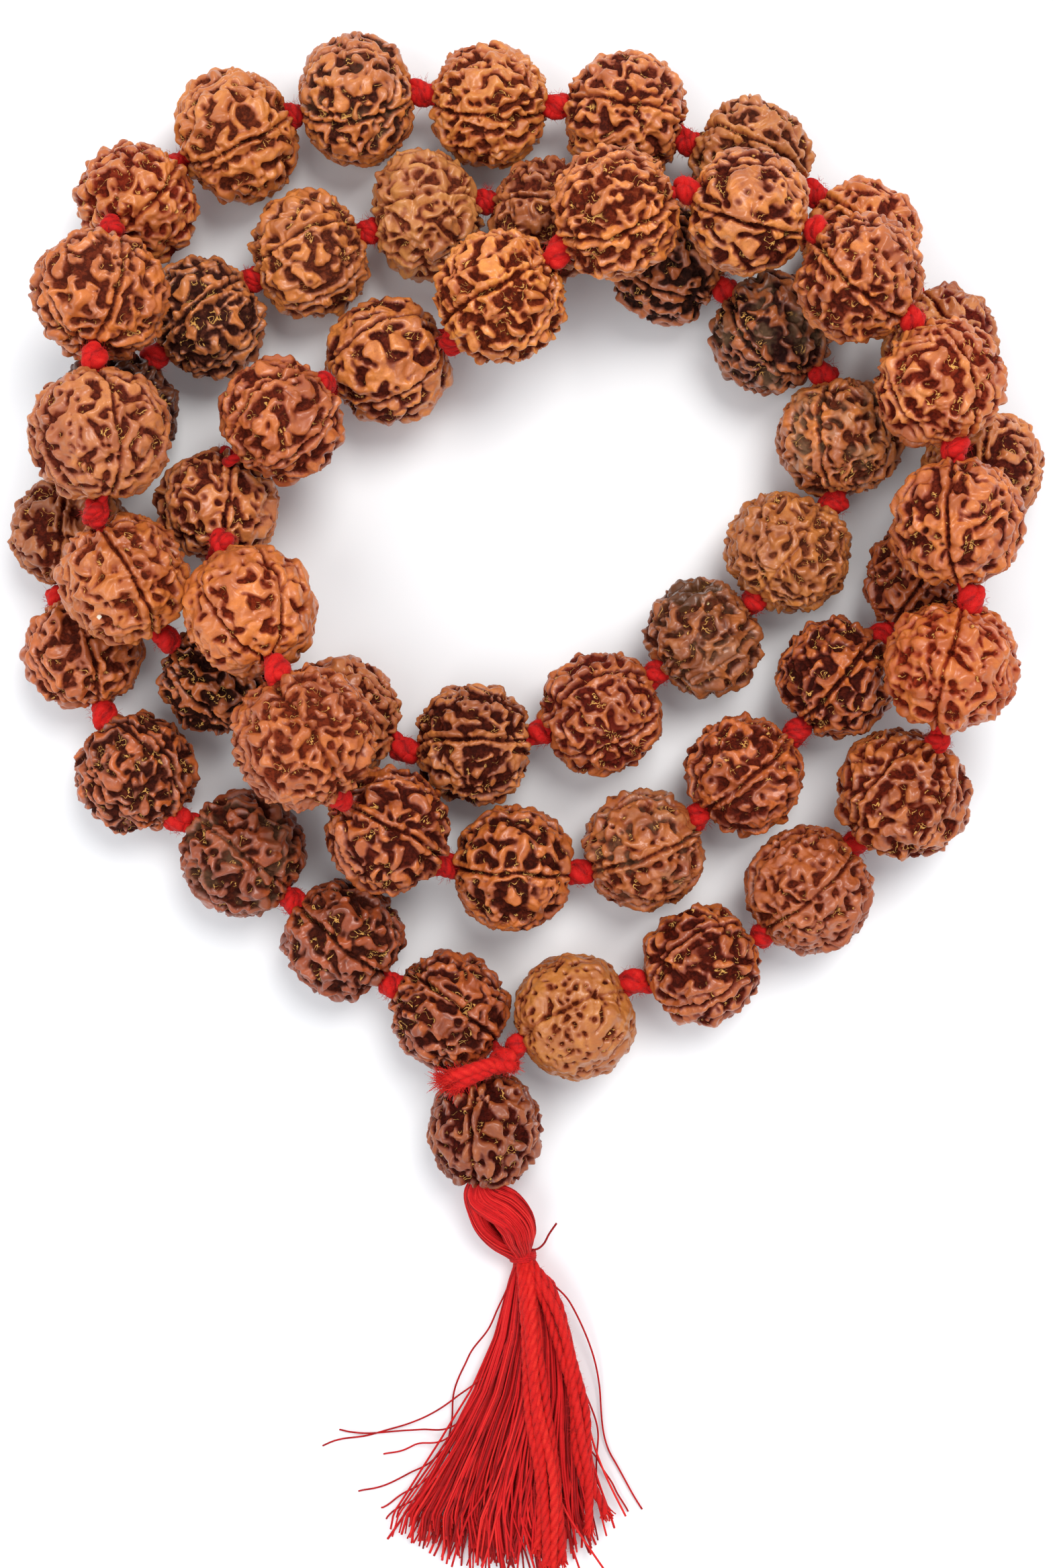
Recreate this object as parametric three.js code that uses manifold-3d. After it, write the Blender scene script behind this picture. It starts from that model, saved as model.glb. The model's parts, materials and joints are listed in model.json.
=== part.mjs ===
// Knotted rudraksha mala, millimetres, +Z up, lying coiled on a flat surface.
// One woollen cord runs through every bead and is tied in a knot between each
// pair. Its two ends are tied together above the guru bead, run down through
// it and carry a thread tassel.
import * as THREE from "three";
import Module from "manifold-3d";

// ---- driving dimensions -------------------------------------------------
const BEAD_SIDES = 12; // facets round each seed
const BORE_R = 1.5; // hole through each seed
const POLE = 0.95; // how far out the mouth of the hole sits, as a share of the half length
const CORD_R = 0.85; // plied woollen cord
const CORD_SIDES = 6;
const KNOT_R = 2.25; // half width of a knot between two beads
const PAST_MOUTH = 1.3; // how far the cord runs on straight outside a hole
const WIDE_GAP = 6; // between two mouths, where the knot has room to be round
const KNOT_GAP = 0.36; // clearance between a knot and the beads beside it
const GURU = { x: -7.31, y: -60.48, across: 10.38, along: 10.14, heading: -92.9 };
const TIE = new THREE.Vector3(-4.0, -48.2, 14.5); // where the cord's two ends are tied
const TIE_R = 2.2;
const EYE = new THREE.Vector3(-8.0, -72.7, 9.2); // knot under the guru bead, which the tassel swings on
const EYE_R = 1.4;
const HEAD = { x: -4.3, y: -77.6, z: 6.5, ring: 2.6, strand: 1.7, wide: 1.3, turn: 30 };
const NECK = new THREE.Vector3(-0.7, -83.9, 4.0); // middle of the tassel's bound neck
const NECK_R = 1.5;
const BINDING = { inner: 2.1, outer: 2.7, from: -1.5, to: 1.0 };
const YARN_R = 1.15; // woollen yarn ends that lie on the tassel

// One row for each counting bead, in order along the cord from the guru bead:
// centre x, centre y, centre z (null: the bead rests on the surface), half width
// across the hole, half length along the hole, heading and climb of the hole in
// degrees.
const BEADS = [
  [8.37, -40.66, null, 11.53, 10.17, 23.8, 0.0],
  [30.73, -31.70, null, 10.89, 9.91, 28.3, 0.0],
  [49.39, -18.61, null, 11.53, 10.49, 40.8, 0.0],
  [65.55, -1.60, 13.97, 12.04, 10.95, 59.7, 18.6],
  [71.94, 20.02, 26.14, 11.60, 10.55, 81.8, 20.3],
  [72.08, 43.79, 30.90, 11.47, 10.44, 92.9, 3.9],
  [69.58, 67.25, 29.35, 11.40, 10.16, 111.6, -1.4],
  [55.91, 84.71, 29.85, 11.27, 9.92, 138.2, -0.2],
  [37.32, 96.14, 29.16, 11.06, 9.75, 165.1, 1.0],
  [15.01, 95.60, 30.59, 11.48, 10.25, -162.1, -5.1],
  [-4.44, 82.68, 25.23, 11.62, 10.57, -150.7, -21.4],
  [-24.06, 73.69, 13.03, 11.48, 10.44, -151.2, -2.3],
  [-41.85, 62.14, 23.55, 11.09, 9.61, -139.5, -0.4],
  [-53.79, 48.34, 12.77, 11.13, 9.28, -97.7, 10.4],
  [-46.30, 29.16, 29.64, 11.50, 10.47, -67.5, 25.5],
  [-36.91, 7.59, 33.83, 12.51, 11.28, -58.7, -13.7],
  [-23.73, -8.02, 19.01, 11.21, 10.20, -33.0, -29.0],
  [-2.41, -14.85, null, 11.41, 10.14, -4.7, 0.0],
  [20.49, -11.67, null, 11.01, 10.02, 22.2, 0.0],
  [38.19, 1.68, null, 10.84, 9.86, 41.7, 0.0],
  [54.53, 18.63, null, 10.95, 9.97, 47.4, 0.0],
  [69.42, 35.62, null, 10.61, 9.65, 55.2, 0.0],
  [79.91, 55.14, null, 10.95, 9.97, 85.6, 0.0],
  [72.65, 77.46, null, 10.38, 9.44, 117.6, 0.0],
  [58.75, 95.53, null, 10.72, 9.76, 136.4, 0.0],
  [39.29, 109.18, null, 11.07, 10.07, 152.5, 0.0],
  [17.41, 117.06, null, 11.41, 10.43, 168.1, 0.0],
  [-6.57, 118.84, null, 10.95, 10.01, 176.9, 0.0],
  [-29.73, 119.58, null, 11.76, 9.78, -172.7, 0.0],
  [-50.62, 113.16, null, 12.10, 10.10, -154.2, 0.0],
  [-67.96, 101.07, 12.98, 11.24, 9.37, -124.6, 22.9],
  [-71.90, 82.27, 27.57, 11.78, 10.20, -94.0, 25.8],
  [-70.92, 58.16, 33.78, 12.28, 10.72, -85.5, -1.3],
  [-68.13, 34.79, 26.50, 11.24, 10.23, -67.4, -26.7],
  [-54.38, 18.43, 12.18, 9.97, 9.08, -33.1, -20.5],
  [-32.51, 11.53, null, 10.95, 9.97, -14.4, 0.0],
  [-9.32, 6.91, null, 11.07, 10.07, 1.1, 0.0],
  [13.01, 12.42, null, 11.07, 10.37, 24.8, 0.0],
  [31.06, 25.57, null, 10.84, 9.42, 40.7, 0.0],
  [45.86, 40.66, null, 11.41, 9.76, 55.7, 0.0],
  [54.86, 60.52, null, 11.53, 9.88, 94.2, 0.0],
  [43.05, 79.15, null, 11.18, 10.00, 134.5, 0.0],
  [24.72, 91.23, null, 10.95, 9.66, 153.3, 0.0],
  [3.66, 98.93, null, 11.18, 9.77, 168.9, 0.0],
  [-17.54, 99.53, null, 11.76, 9.22, -171.3, 0.0],
  [-37.92, 92.60, null, 11.53, 9.76, -155.2, 0.0],
  [-56.19, 81.67, null, 11.18, 9.53, -141.4, 0.0],
  [-71.93, 65.41, null, 11.30, 10.28, -122.6, 0.0],
  [-80.16, 44.11, null, 10.61, 9.31, -97.8, 0.0],
  [-77.69, 23.25, null, 10.72, 9.52, -74.3, 0.0],
  [-68.35, 2.03, null, 11.07, 10.07, -51.4, 0.0],
  [-49.53, -12.00, null, 11.41, 10.38, -38.8, 0.0],
  [-32.08, -27.08, null, 10.84, 9.86, -37.7, 0.0],
  [-13.58, -39.77, null, 10.72, 10.13, -36.3, 0.0],
];

// Seed colour by bead number; the rest take the common brown.
const COMMON = 0x9a5530;
const SHADES = {
  1: 0xb07a48, 3: 0xa1603a, 5: 0xab6234, 6: 0xa75f33, 7: 0xa55c30, 8: 0xa45b30,
  11: 0xa35c31, 16: 0xa5602f, 30: 0xa3602f, 32: 0x9c5a30, 33: 0x9e5a35,
  34: 0x9c5a33, 35: 0x5e3a24, 36: 0x744225, 37: 0x744325, 39: 0x7c4a28,
  40: 0x96603a, 41: 0x8a5b3c, 42: 0x74482d, 43: 0x7c4a2c, 46: 0x80502f,
  47: 0x5a3524, 48: 0x7a4a2f, 49: 0x7a4c30, 50: 0x74442b, 51: 0x74432a,
  52: 0x80492b, 53: 0x85492b,
};
const CORD_RED = 0xc8161b;
const TASSEL_RED = 0xb5131c;

// ---- small helpers -------------------------------------------------------
const rad = THREE.MathUtils.degToRad;
const V = (x, y, z) => new THREE.Vector3(x, y, z);

// Distance from a seed's centre to its skin along a unit vector.
function skin(b, u) {
  const q = u.dot(b.axis) ** 2;
  return 1 / Math.sqrt(q / b.along ** 2 + (1 - q) / b.across ** 2);
}

// Half of a seed's section, out from its hole.
function seedProfile(across, along) {
  return [
    [BORE_R, -POLE * along],
    [0.68 * across, -0.72 * along],
    [across, -0.22 * along],
    [across, 0.22 * along],
    [0.68 * across, 0.72 * along],
    [BORE_R, POLE * along],
  ];
}

// Distance from a seed's skin to a point outside it; negative inside.
function clearance(b, point) {
  const d = point.clone().sub(b.centre);
  const y = d.dot(b.axis),
    r = Math.sqrt(Math.max(d.lengthSq() - y * y, 0));
  const profile = seedProfile(b.across, b.along);
  let best = Infinity,
    inside = r > BORE_R;
  for (let i = 0; i + 1 < profile.length; i++) {
    const [r0, y0] = profile[i],
      [r1, y1] = profile[i + 1];
    const t = THREE.MathUtils.clamp(
      ((r - r0) * (r1 - r0) + (y - y0) * (y1 - y0)) /
        ((r1 - r0) ** 2 + (y1 - y0) ** 2),
      0,
      1,
    );
    best = Math.min(best, Math.hypot(r - r0 - t * (r1 - r0), y - y0 - t * (y1 - y0)));
    if ((r - r0) * (y1 - y0) - (y - y0) * (r1 - r0) > 0) inside = false;
  }
  return inside ? -best : best;
}

function knotIsClear(knot, seeds) {
  const turn = new THREE.Quaternion().setFromUnitVectors(V(0, 1, 0), knot.dir);
  for (let i = -4; i <= 4; i++)
    for (let k = 0; k < 12; k++) {
      const lat = (Math.PI / 2) * (i / 4.5),
        lon = (Math.PI / 6) * k;
      const p = V(
        knot.r * Math.cos(lat) * Math.cos(lon),
        knot.half * Math.sin(lat),
        knot.r * Math.cos(lat) * Math.sin(lon),
      )
        .applyQuaternion(turn)
        .add(knot.at);
      if (seeds.some((b) => clearance(b, p) < KNOT_GAP)) return false;
    }
  return true;
}

// Where a seed sits higher than its neighbour, the cord goes round the shoulder
// of the seed: the point moves straight away from the line of centres until it
// is clear of both.
function besideSeeds(point, a, b, gap) {
  const line = b.centre.clone().sub(a.centre).normalize();
  const out = point.clone().sub(a.centre);
  out.addScaledVector(line, -out.dot(line));
  if (out.length() < 0.3) return point;
  out.normalize();
  const room = (gap > WIDE_GAP ? 1.9 : CORD_R) + 0.35;
  const clear = () =>
    [a, b].every((s) => {
      const d = point.clone().sub(s.centre);
      return d.length() >= 0.98 * skin(s, d.clone().normalize()) + room;
    });
  for (let k = 0; k < 80 && !clear(); k++) point.addScaledVector(out, 0.1);
  return point;
}

function headingOf(heading, climb) {
  const h = rad(heading),
    c = rad(climb);
  return V(Math.cos(c) * Math.cos(h), Math.cos(c) * Math.sin(h), Math.sin(c));
}

// A path through stations that is sampled exactly at them.
class StationPath extends THREE.Curve {
  constructor(stations) {
    super();
    this.stations = stations;
  }
  getPoint(t) {
    const s = t * (this.stations.length - 1),
      i = Math.min(Math.floor(s), this.stations.length - 2);
    return this.stations[i].clone().lerp(this.stations[i + 1], s - i);
  }
  getPointAt(u) {
    return this.getPoint(u);
  }
  getTangentAt(u) {
    const n = this.stations.length - 1,
      i = Math.round(u * n);
    return this.stations[Math.min(i + 1, n)]
      .clone()
      .sub(this.stations[Math.max(i - 1, 0)])
      .normalize();
  }
}

function tube(stations, radius, sides) {
  const ring = [];
  for (let k = 0; k < sides; k++) {
    const a = (2 * Math.PI * k) / sides;
    ring.push(new THREE.Vector2(radius * Math.cos(a), radius * Math.sin(a)));
  }
  return new THREE.ExtrudeGeometry(new THREE.Shape(ring), {
    steps: stations.length - 1,
    extrudePath: new StationPath(stations),
    bevelEnabled: false,
  });
}

// ---- solids --------------------------------------------------------------
const wasm = await Module();
wasm.setup();
const { mergeVertices } = await import(
  "three/addons/utils/BufferGeometryUtils.js"
);

function toSolid(geometry, matrix) {
  const flat = geometry.index ? geometry.toNonIndexed() : geometry;
  const g = new THREE.BufferGeometry().setAttribute(
    "position",
    flat.getAttribute("position").clone(),
  );
  if (matrix) g.applyMatrix4(matrix);
  const merged = mergeVertices(g, 1e-3);
  const solid = new wasm.Manifold(
    new wasm.Mesh({
      numProp: 3,
      vertProperties: merged.attributes.position.array,
      triVerts: new Uint32Array(merged.index.array),
    }),
  );
  return solid;
}

function toGeometry(solid) {
  const m = solid.getMesh();
  const p = new Float32Array(m.numVert * 3);
  for (let i = 0; i < m.numVert; i++)
    p.set(m.vertProperties.subarray(i * m.numProp, i * m.numProp + 3), i * 3);
  const g = new THREE.BufferGeometry()
    .setAttribute("position", new THREE.BufferAttribute(p, 3))
    .setIndex(new THREE.BufferAttribute(m.triVerts, 1));
  g.computeVertexNormals();
  return g;
}

const group = new THREE.Group();

function add(name, geometry, color, roughness) {
  const mesh = new THREE.Mesh(
    geometry,
    new THREE.MeshStandardMaterial({ color, roughness, metalness: 0, flatShading: true }),
  );
  mesh.name = name;
  group.add(mesh);
  return mesh;
}

// A seed is a drilled, slightly flattened ball. A flat facet faces down.
function beadGeometry(across, along) {
  const half = seedProfile(across, along);
  const profile = [...half, half[0]].map(
    ([r, y]) => new THREE.Vector2(r, y),
  );
  return new THREE.LatheGeometry(
    profile,
    BEAD_SIDES,
    -Math.PI / BEAD_SIDES,
    2 * Math.PI,
  );
}

const FLAT = Math.cos(Math.PI / BEAD_SIDES); // centre to facet, as a share of the half width

function placeBead(mesh, centre, axis) {
  const down = V(0, 0, -1).addScaledVector(axis, axis.z).normalize();
  const side = axis.clone().cross(down);
  mesh.quaternion.setFromRotationMatrix(
    new THREE.Matrix4().makeBasis(side, axis, down),
  );
  mesh.position.copy(centre);
}

const beads = BEADS.map(([x, y, z, across, along, heading, climb]) => ({
  centre: V(x, y, z === null ? FLAT * across : z),
  axis: headingOf(heading, climb),
  across,
  along,
}));
const guru = {
  centre: V(GURU.x, GURU.y, FLAT * GURU.across),
  axis: headingOf(GURU.heading, 0),
  across: GURU.across,
  along: GURU.along,
};

beads.forEach((b, i) => {
  const mesh = add(
    "bead_" + String(i + 1).padStart(2, "0"),
    beadGeometry(b.across, b.along),
    SHADES[i + 1] ?? COMMON,
    0.5,
  );
  placeBead(mesh, b.centre, b.axis);
});
placeBead(
  add("guru_bead", beadGeometry(guru.across, guru.along), 0x86492c, 0.5),
  guru.centre,
  guru.axis,
);

// ---- cord, with its knots, the tie and the run through the guru bead ------
// The cord runs straight through a seed and a little way past the mouths of its
// hole before it turns.
const mouthIn = (b, past = 0) =>
  b.centre.clone().addScaledVector(b.axis, -POLE * b.along - past);
const mouthOut = (b, past = 0) =>
  b.centre.clone().addScaledVector(b.axis, POLE * b.along + past);
const linkGap = (i) => mouthOut(beads[i]).distanceTo(mouthIn(beads[i + 1]));
const pastMouth = (gap) => Math.min(PAST_MOUTH, 0.3 * gap);
const last = beads.length - 1;
const stations = [TIE.clone(), V(-2.5, -46.0, 11.9)];
const knots = [
  { at: V(-2.45, -45.85, 11.6), dir: beads[0].axis, half: 1.6, r: 1.7 },
];
beads.forEach((b, i) => {
  stations.push(
    mouthIn(b, i === 0 ? 0.5 : pastMouth(linkGap(i - 1))),
    mouthOut(b, i === last ? 1.0 : pastMouth(linkGap(i))),
  );
  if (i === last) return;
  const gap = linkGap(i);
  const a = mouthOut(b, pastMouth(gap)),
    c = mouthIn(beads[i + 1], pastMouth(gap));
  const at = besideSeeds(a.clone().lerp(c, 0.5), b, beads[i + 1], gap);
  const dir = b.axis.clone().add(beads[i + 1].axis).normalize();
  // a knot fills the room between two seeds, and is smaller where they are close
  const knot = {
    at,
    dir,
    half: gap > WIDE_GAP ? 1.9 : Math.min(Math.max(gap / 2 - KNOT_GAP, 0.9), KNOT_R),
    r: gap > WIDE_GAP ? 1.9 : KNOT_R,
  };
  while (knot.r > CORD_R + 0.3 && !knotIsClear(knot, [b, beads[i + 1]])) {
    knot.r *= 0.97;
    knot.half = Math.max(0.97 * knot.half, 0.5);
  }
  stations.push(at);
  knots.push(knot);
});
stations.push(V(-4.5, -47.2, 12.5), TIE.clone());
const lastMouth = mouthOut(beads[last]);
knots.push({
  at: lastMouth.clone().lerp(V(-4.5, -47.2, 12.5), 0.8),
  dir: V(-4.5, -47.2, 12.5).sub(lastMouth).normalize(),
  half: 1.0,
  r: 1.3,
});

function ball(at, dir, half, r) {
  const m = new THREE.Matrix4().compose(
    at,
    new THREE.Quaternion().setFromUnitVectors(V(0, 1, 0), dir),
    V(r, half, r),
  );
  return toSolid(new THREE.SphereGeometry(1, 7, 4), m);
}

let cord = toSolid(tube(stations, CORD_R, CORD_SIDES));
for (const k of knots) cord = cord.add(ball(k.at, k.dir, k.half, k.r));
cord = cord.add(ball(TIE, V(0, 1, 0), TIE_R, TIE_R));
const stem = [
  TIE.clone(),
  V(-6.4, -49.5, 11.2),
  mouthIn(guru),
  mouthOut(guru),
  EYE.clone(),
];
cord = cord.add(toSolid(tube(stem, CORD_R, CORD_SIDES)));
cord = cord.add(ball(EYE, V(0, 1, 0), EYE_R, EYE_R));
const cutEnds = [
  TIE.clone(),
  V(-7.5, -49.2, 16.2),
  V(-10.8, -50.2, 17.0),
  V(-16.0, -51.6, 15.6),
];
cord = cord.add(toSolid(tube(cutEnds, 1.35, CORD_SIDES)));
add("stringing_cord", toGeometry(cord), CORD_RED, 0.9);

// ---- tassel ---------------------------------------------------------------
const head = add(
  "tassel_head",
  new THREE.TorusGeometry(HEAD.ring, HEAD.strand, 8, 16),
  TASSEL_RED,
  0.7,
);
head.scale.set(HEAD.wide, 1, 1.1);
head.rotation.z = rad(-HEAD.turn);
head.position.set(HEAD.x, HEAD.y, HEAD.z);

// Skirt: distance below the neck, half width, half thickness, sideways drift.
const SKIRT = [
  [-1.5, 0.0, 0.0, 0.0],
  [-1.2, 1.0, 1.0, 0.0],
  [-0.4, NECK_R, NECK_R, 0.0],
  [1.8, NECK_R, NECK_R, 0.1],
  [4.6, 4.2, 2.2, 2.4],
  [14.2, 7.0, 3.2, 2.6],
  [24.0, 9.5, 3.6, 1.4],
  [33.0, 12.1, 3.6, -0.6],
  [46.0, 16.6, 3.0, -3.8],
  [55.5, 17.0, 2.6, -3.6],
  [55.5, 0.0, 0.0, -3.6],
];
const skirtGeometry = new THREE.LatheGeometry(
  SKIRT.map(([d, w]) => new THREE.Vector2(w, -d)).reverse(),
  16,
);
{
  const p = skirtGeometry.getAttribute("position");
  const at = (d, k) => {
    let i = 1;
    while (i < SKIRT.length - 2 && SKIRT[i][0] < d) i++;
    const [a, b] = [SKIRT[i - 1], SKIRT[i]];
    const f = b[0] === a[0] ? 1 : Math.min(Math.max((d - a[0]) / (b[0] - a[0]), 0), 1);
    return a[k] + f * (b[k] - a[k]);
  };
  for (let i = 0; i < p.count; i++) {
    const d = -p.getY(i),
      w = at(d, 1),
      h = at(d, 2);
    const flat = w > 0.01 ? h / w : 0;
    // each ring is let down until it rests on the surface
    const sink = Math.min(Math.max(d / 14, 0), 1);
    const mid = (1 - sink) * NECK.z + sink * Math.max(h, at(Math.min(d, 55.4), 2));
    p.setXYZ(i, NECK.x + at(d, 3) + p.getX(i), NECK.y - d, mid + p.getZ(i) * flat);
  }
  skirtGeometry.computeVertexNormals();
}
add("tassel_skirt", skirtGeometry, TASSEL_RED, 0.65);

const bindingProfile = [
  [BINDING.inner, BINDING.from],
  [BINDING.outer, BINDING.from + 0.3],
  [BINDING.outer, BINDING.to - 0.3],
  [BINDING.inner, BINDING.to],
  [BINDING.inner, BINDING.from],
].map(([r, y]) => new THREE.Vector2(r, y));
const binding = add(
  "neck_binding",
  new THREE.LatheGeometry(bindingProfile, 16),
  CORD_RED,
  0.8,
);
binding.position.copy(NECK);

const strandA = [
  V(2.0, -88.8, 8.0),
  V(3.0, -98.0, 8.6),
  V(3.6, -106.0, 9.3),
  V(3.3, -114.0, 9.4),
  V(3.6, -128.0, 8.6),
  V(4.8, -138.6, 7.6),
];
const strandB = [
  V(2.0, -88.8, 8.0),
  V(5.2, -98.0, 8.6),
  V(7.4, -108.0, 8.8),
  V(9.4, -118.0, 8.4),
  V(12.4, -131.5, 7.4),
];
add(
  "woolly_yarn_ends",
  toGeometry(
    toSolid(tube(strandA, YARN_R, 6)).add(toSolid(tube(strandB, YARN_R, 6))),
  ),
  CORD_RED,
  0.9,
);

// ---- origin: middle of the footprint, on the resting surface ---------------
group.updateMatrixWorld(true);
const box = new THREE.Box3().setFromObject(group, true);
group.position.set(
  -(box.min.x + box.max.x) / 2,
  -(box.min.y + box.max.y) / 2,
  -box.min.z,
);

export default group;
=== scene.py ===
"""Knotted rudraksha mala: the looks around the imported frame. Metres, +Z up."""

import json
import math

import bpy
import numpy as np
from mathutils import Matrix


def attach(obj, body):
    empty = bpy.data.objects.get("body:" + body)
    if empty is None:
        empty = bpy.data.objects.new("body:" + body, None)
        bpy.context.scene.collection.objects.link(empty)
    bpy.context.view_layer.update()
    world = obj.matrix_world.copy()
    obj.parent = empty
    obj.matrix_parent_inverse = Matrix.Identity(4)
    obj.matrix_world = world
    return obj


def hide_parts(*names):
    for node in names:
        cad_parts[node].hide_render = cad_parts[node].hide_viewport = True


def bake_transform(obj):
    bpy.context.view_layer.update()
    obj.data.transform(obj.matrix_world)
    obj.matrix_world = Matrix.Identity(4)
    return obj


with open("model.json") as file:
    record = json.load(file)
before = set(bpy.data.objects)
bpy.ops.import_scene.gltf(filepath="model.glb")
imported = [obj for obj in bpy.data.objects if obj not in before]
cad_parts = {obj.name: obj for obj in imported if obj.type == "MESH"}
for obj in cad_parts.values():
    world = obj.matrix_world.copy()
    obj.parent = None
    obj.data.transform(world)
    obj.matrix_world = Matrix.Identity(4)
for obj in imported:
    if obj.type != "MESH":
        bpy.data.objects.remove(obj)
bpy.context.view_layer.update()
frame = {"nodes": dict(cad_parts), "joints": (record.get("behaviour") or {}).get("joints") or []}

OFFSET = np.array([-0.01618, 4.13969, 0.0])  # the model's frame, from the layout's, mm
CAMERA = np.array([-0.01618, 4.13969, 460.0])
POLE = 0.95
CORD_R = 0.85
WIDE_GAP = 6.0
KNOT_GAP = 0.36
KNOT_R = 2.25
FREQUENCY = 48  # of the geodesic grid of each seed


def at(x, y, z):
    return np.array([x, y, z], float) + OFFSET


def rgb(r, g, b):
    """An 8-bit display colour as linear."""
    c = np.array([r, g, b], float) / 255
    c = np.where(c <= 0.04045, c / 12.92, ((c + 0.055) / 1.055) ** 2.4)
    return (float(c[0]), float(c[1]), float(c[2]), 1.0)


# ---- meshes ---------------------------------------------------------------
def mesh_object(name, verts, faces, values=None, materials=()):
    """verts in mm; faces an (n, k) array of one size, or a list of such arrays."""
    groups = faces if isinstance(faces, list) else [faces]
    groups = [np.asarray(g, np.int32) for g in groups if len(g)]
    loops = np.concatenate([g.ravel() for g in groups])
    sizes = np.concatenate([np.full(len(g), g.shape[1], np.int32) for g in groups])
    starts = np.concatenate([[0], np.cumsum(sizes)[:-1]]).astype(np.int32)
    me = bpy.data.meshes.new(name)
    me.vertices.add(len(verts))
    me.vertices.foreach_set(
        "co", np.ascontiguousarray(verts * 0.001, np.float32).ravel()
    )
    me.loops.add(len(loops))
    me.loops.foreach_set("vertex_index", loops)
    me.polygons.add(len(sizes))
    me.polygons.foreach_set("loop_start", starts)
    me.update(calc_edges=True)
    me.validate()
    me.polygons.foreach_set("use_smooth", np.ones(len(me.polygons), bool))
    for key, v in (values or {}).items():
        a = me.attributes.new(key, "FLOAT", "POINT")
        a.data.foreach_set("value", np.ascontiguousarray(v, np.float32))
    for m in materials:
        me.materials.append(m)
    me.update()
    o = bpy.data.objects.new(name, me)
    bpy.context.scene.collection.objects.link(o)
    return o


class Batch:
    """Tubes gathered into one mesh."""

    def __init__(self):
        self.verts, self.quads, self.tris, self.tone = [], [], [], []
        self.count = 0

    def add(self, verts, quads, tris, tone):
        self.verts.append(verts)
        self.quads.append(quads + self.count)
        self.tris.append(tris + self.count)
        self.tone.append(tone)
        self.count += len(verts)

    def make(self, name, materials):
        return mesh_object(
            name,
            np.concatenate(self.verts),
            [np.concatenate(self.quads), np.concatenate(self.tris)],
            {"tone": np.concatenate(self.tone)},
            materials,
        )


def frames_along(P):
    """Tangent, normal and binormal along each of the paths P[T, N, 3]."""
    t = np.gradient(P, axis=1)
    t /= np.maximum(np.linalg.norm(t, axis=2, keepdims=True), 1e-9)
    first = np.where(
        np.abs(t[:, 0, 2:3]) < 0.8, np.array([[0.0, 0, 1]]), np.array([[1.0, 0, 0]])
    )
    n = np.empty_like(P)
    k = first - (first * t[:, 0]).sum(1, keepdims=True) * t[:, 0]
    n[:, 0] = k / np.linalg.norm(k, axis=1, keepdims=True)
    for i in range(1, P.shape[1]):
        k = n[:, i - 1] - (n[:, i - 1] * t[:, i]).sum(1, keepdims=True) * t[:, i]
        n[:, i] = k / np.maximum(np.linalg.norm(k, axis=1, keepdims=True), 1e-9)
    return t, n, np.cross(t, n)


def tubes(batch, P, R, sides, tone, lobes=0, pitch=1.0, depth=0.2, phase=None):
    """A closed tube along each path P[T, N, 3] with radii R[T, N]. With lobes, the
    section is that of a plied yarn, whose plies go round once in pitch mm."""
    T, N, _ = P.shape
    t, n, b = frames_along(P)
    a = np.arange(sides) / sides * 2 * np.pi
    a = np.broadcast_to(a, (T, N, sides))
    r = np.broadcast_to(R[:, :, None], (T, N, sides)).copy()
    if lobes:
        step = np.linalg.norm(np.diff(P, axis=1), axis=2)
        s = np.concatenate([np.zeros((T, 1)), np.cumsum(step, axis=1)], axis=1)
        turn = 2 * np.pi * s / pitch
        if phase is not None:
            turn = turn + phase[:, None]
        lobe = np.abs(np.cos(lobes / 2 * (a - turn[:, :, None]))) ** 0.7
        r *= 1 - depth + depth * lobe
    V = (
        P[:, :, None]
        + n[:, :, None] * (r * np.cos(a))[..., None]
        + b[:, :, None] * (r * np.sin(a))[..., None]
    )
    tips = np.stack(
        [P[:, 0] - t[:, 0] * R[:, 0:1] * 0.5, P[:, -1] + t[:, -1] * R[:, -1:] * 0.5], 1
    )
    verts = np.concatenate([V.reshape(T, N * sides, 3), tips], axis=1)
    per = N * sides + 2
    tones = np.repeat(np.asarray(tone, float)[:, None], per, axis=1)
    if lobes:  # the creases between the plies are darker: painted shade
        tones[:, : N * sides] -= 0.55 * (1 - lobe.reshape(T, N * sides))
    i, k = np.meshgrid(np.arange(N - 1), np.arange(sides), indexing="ij")
    q = np.stack(
        [
            i * sides + k,
            i * sides + (k + 1) % sides,
            (i + 1) * sides + (k + 1) % sides,
            (i + 1) * sides + k,
        ],
        -1,
    ).reshape(-1, 4)
    k = np.arange(sides)
    caps = np.concatenate(
        [
            np.stack([(k + 1) % sides, k, np.full(sides, N * sides)], 1),
            np.stack(
                [
                    (N - 1) * sides + k,
                    (N - 1) * sides + (k + 1) % sides,
                    np.full(sides, N * sides + 1),
                ],
                1,
            ),
        ]
    )
    shift = (np.arange(T) * per)[:, None, None]
    batch.add(
        verts.reshape(-1, 3),
        (q[None] + shift).reshape(-1, 4),
        (caps[None] + shift).reshape(-1, 3),
        tones.ravel(),
    )


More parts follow.
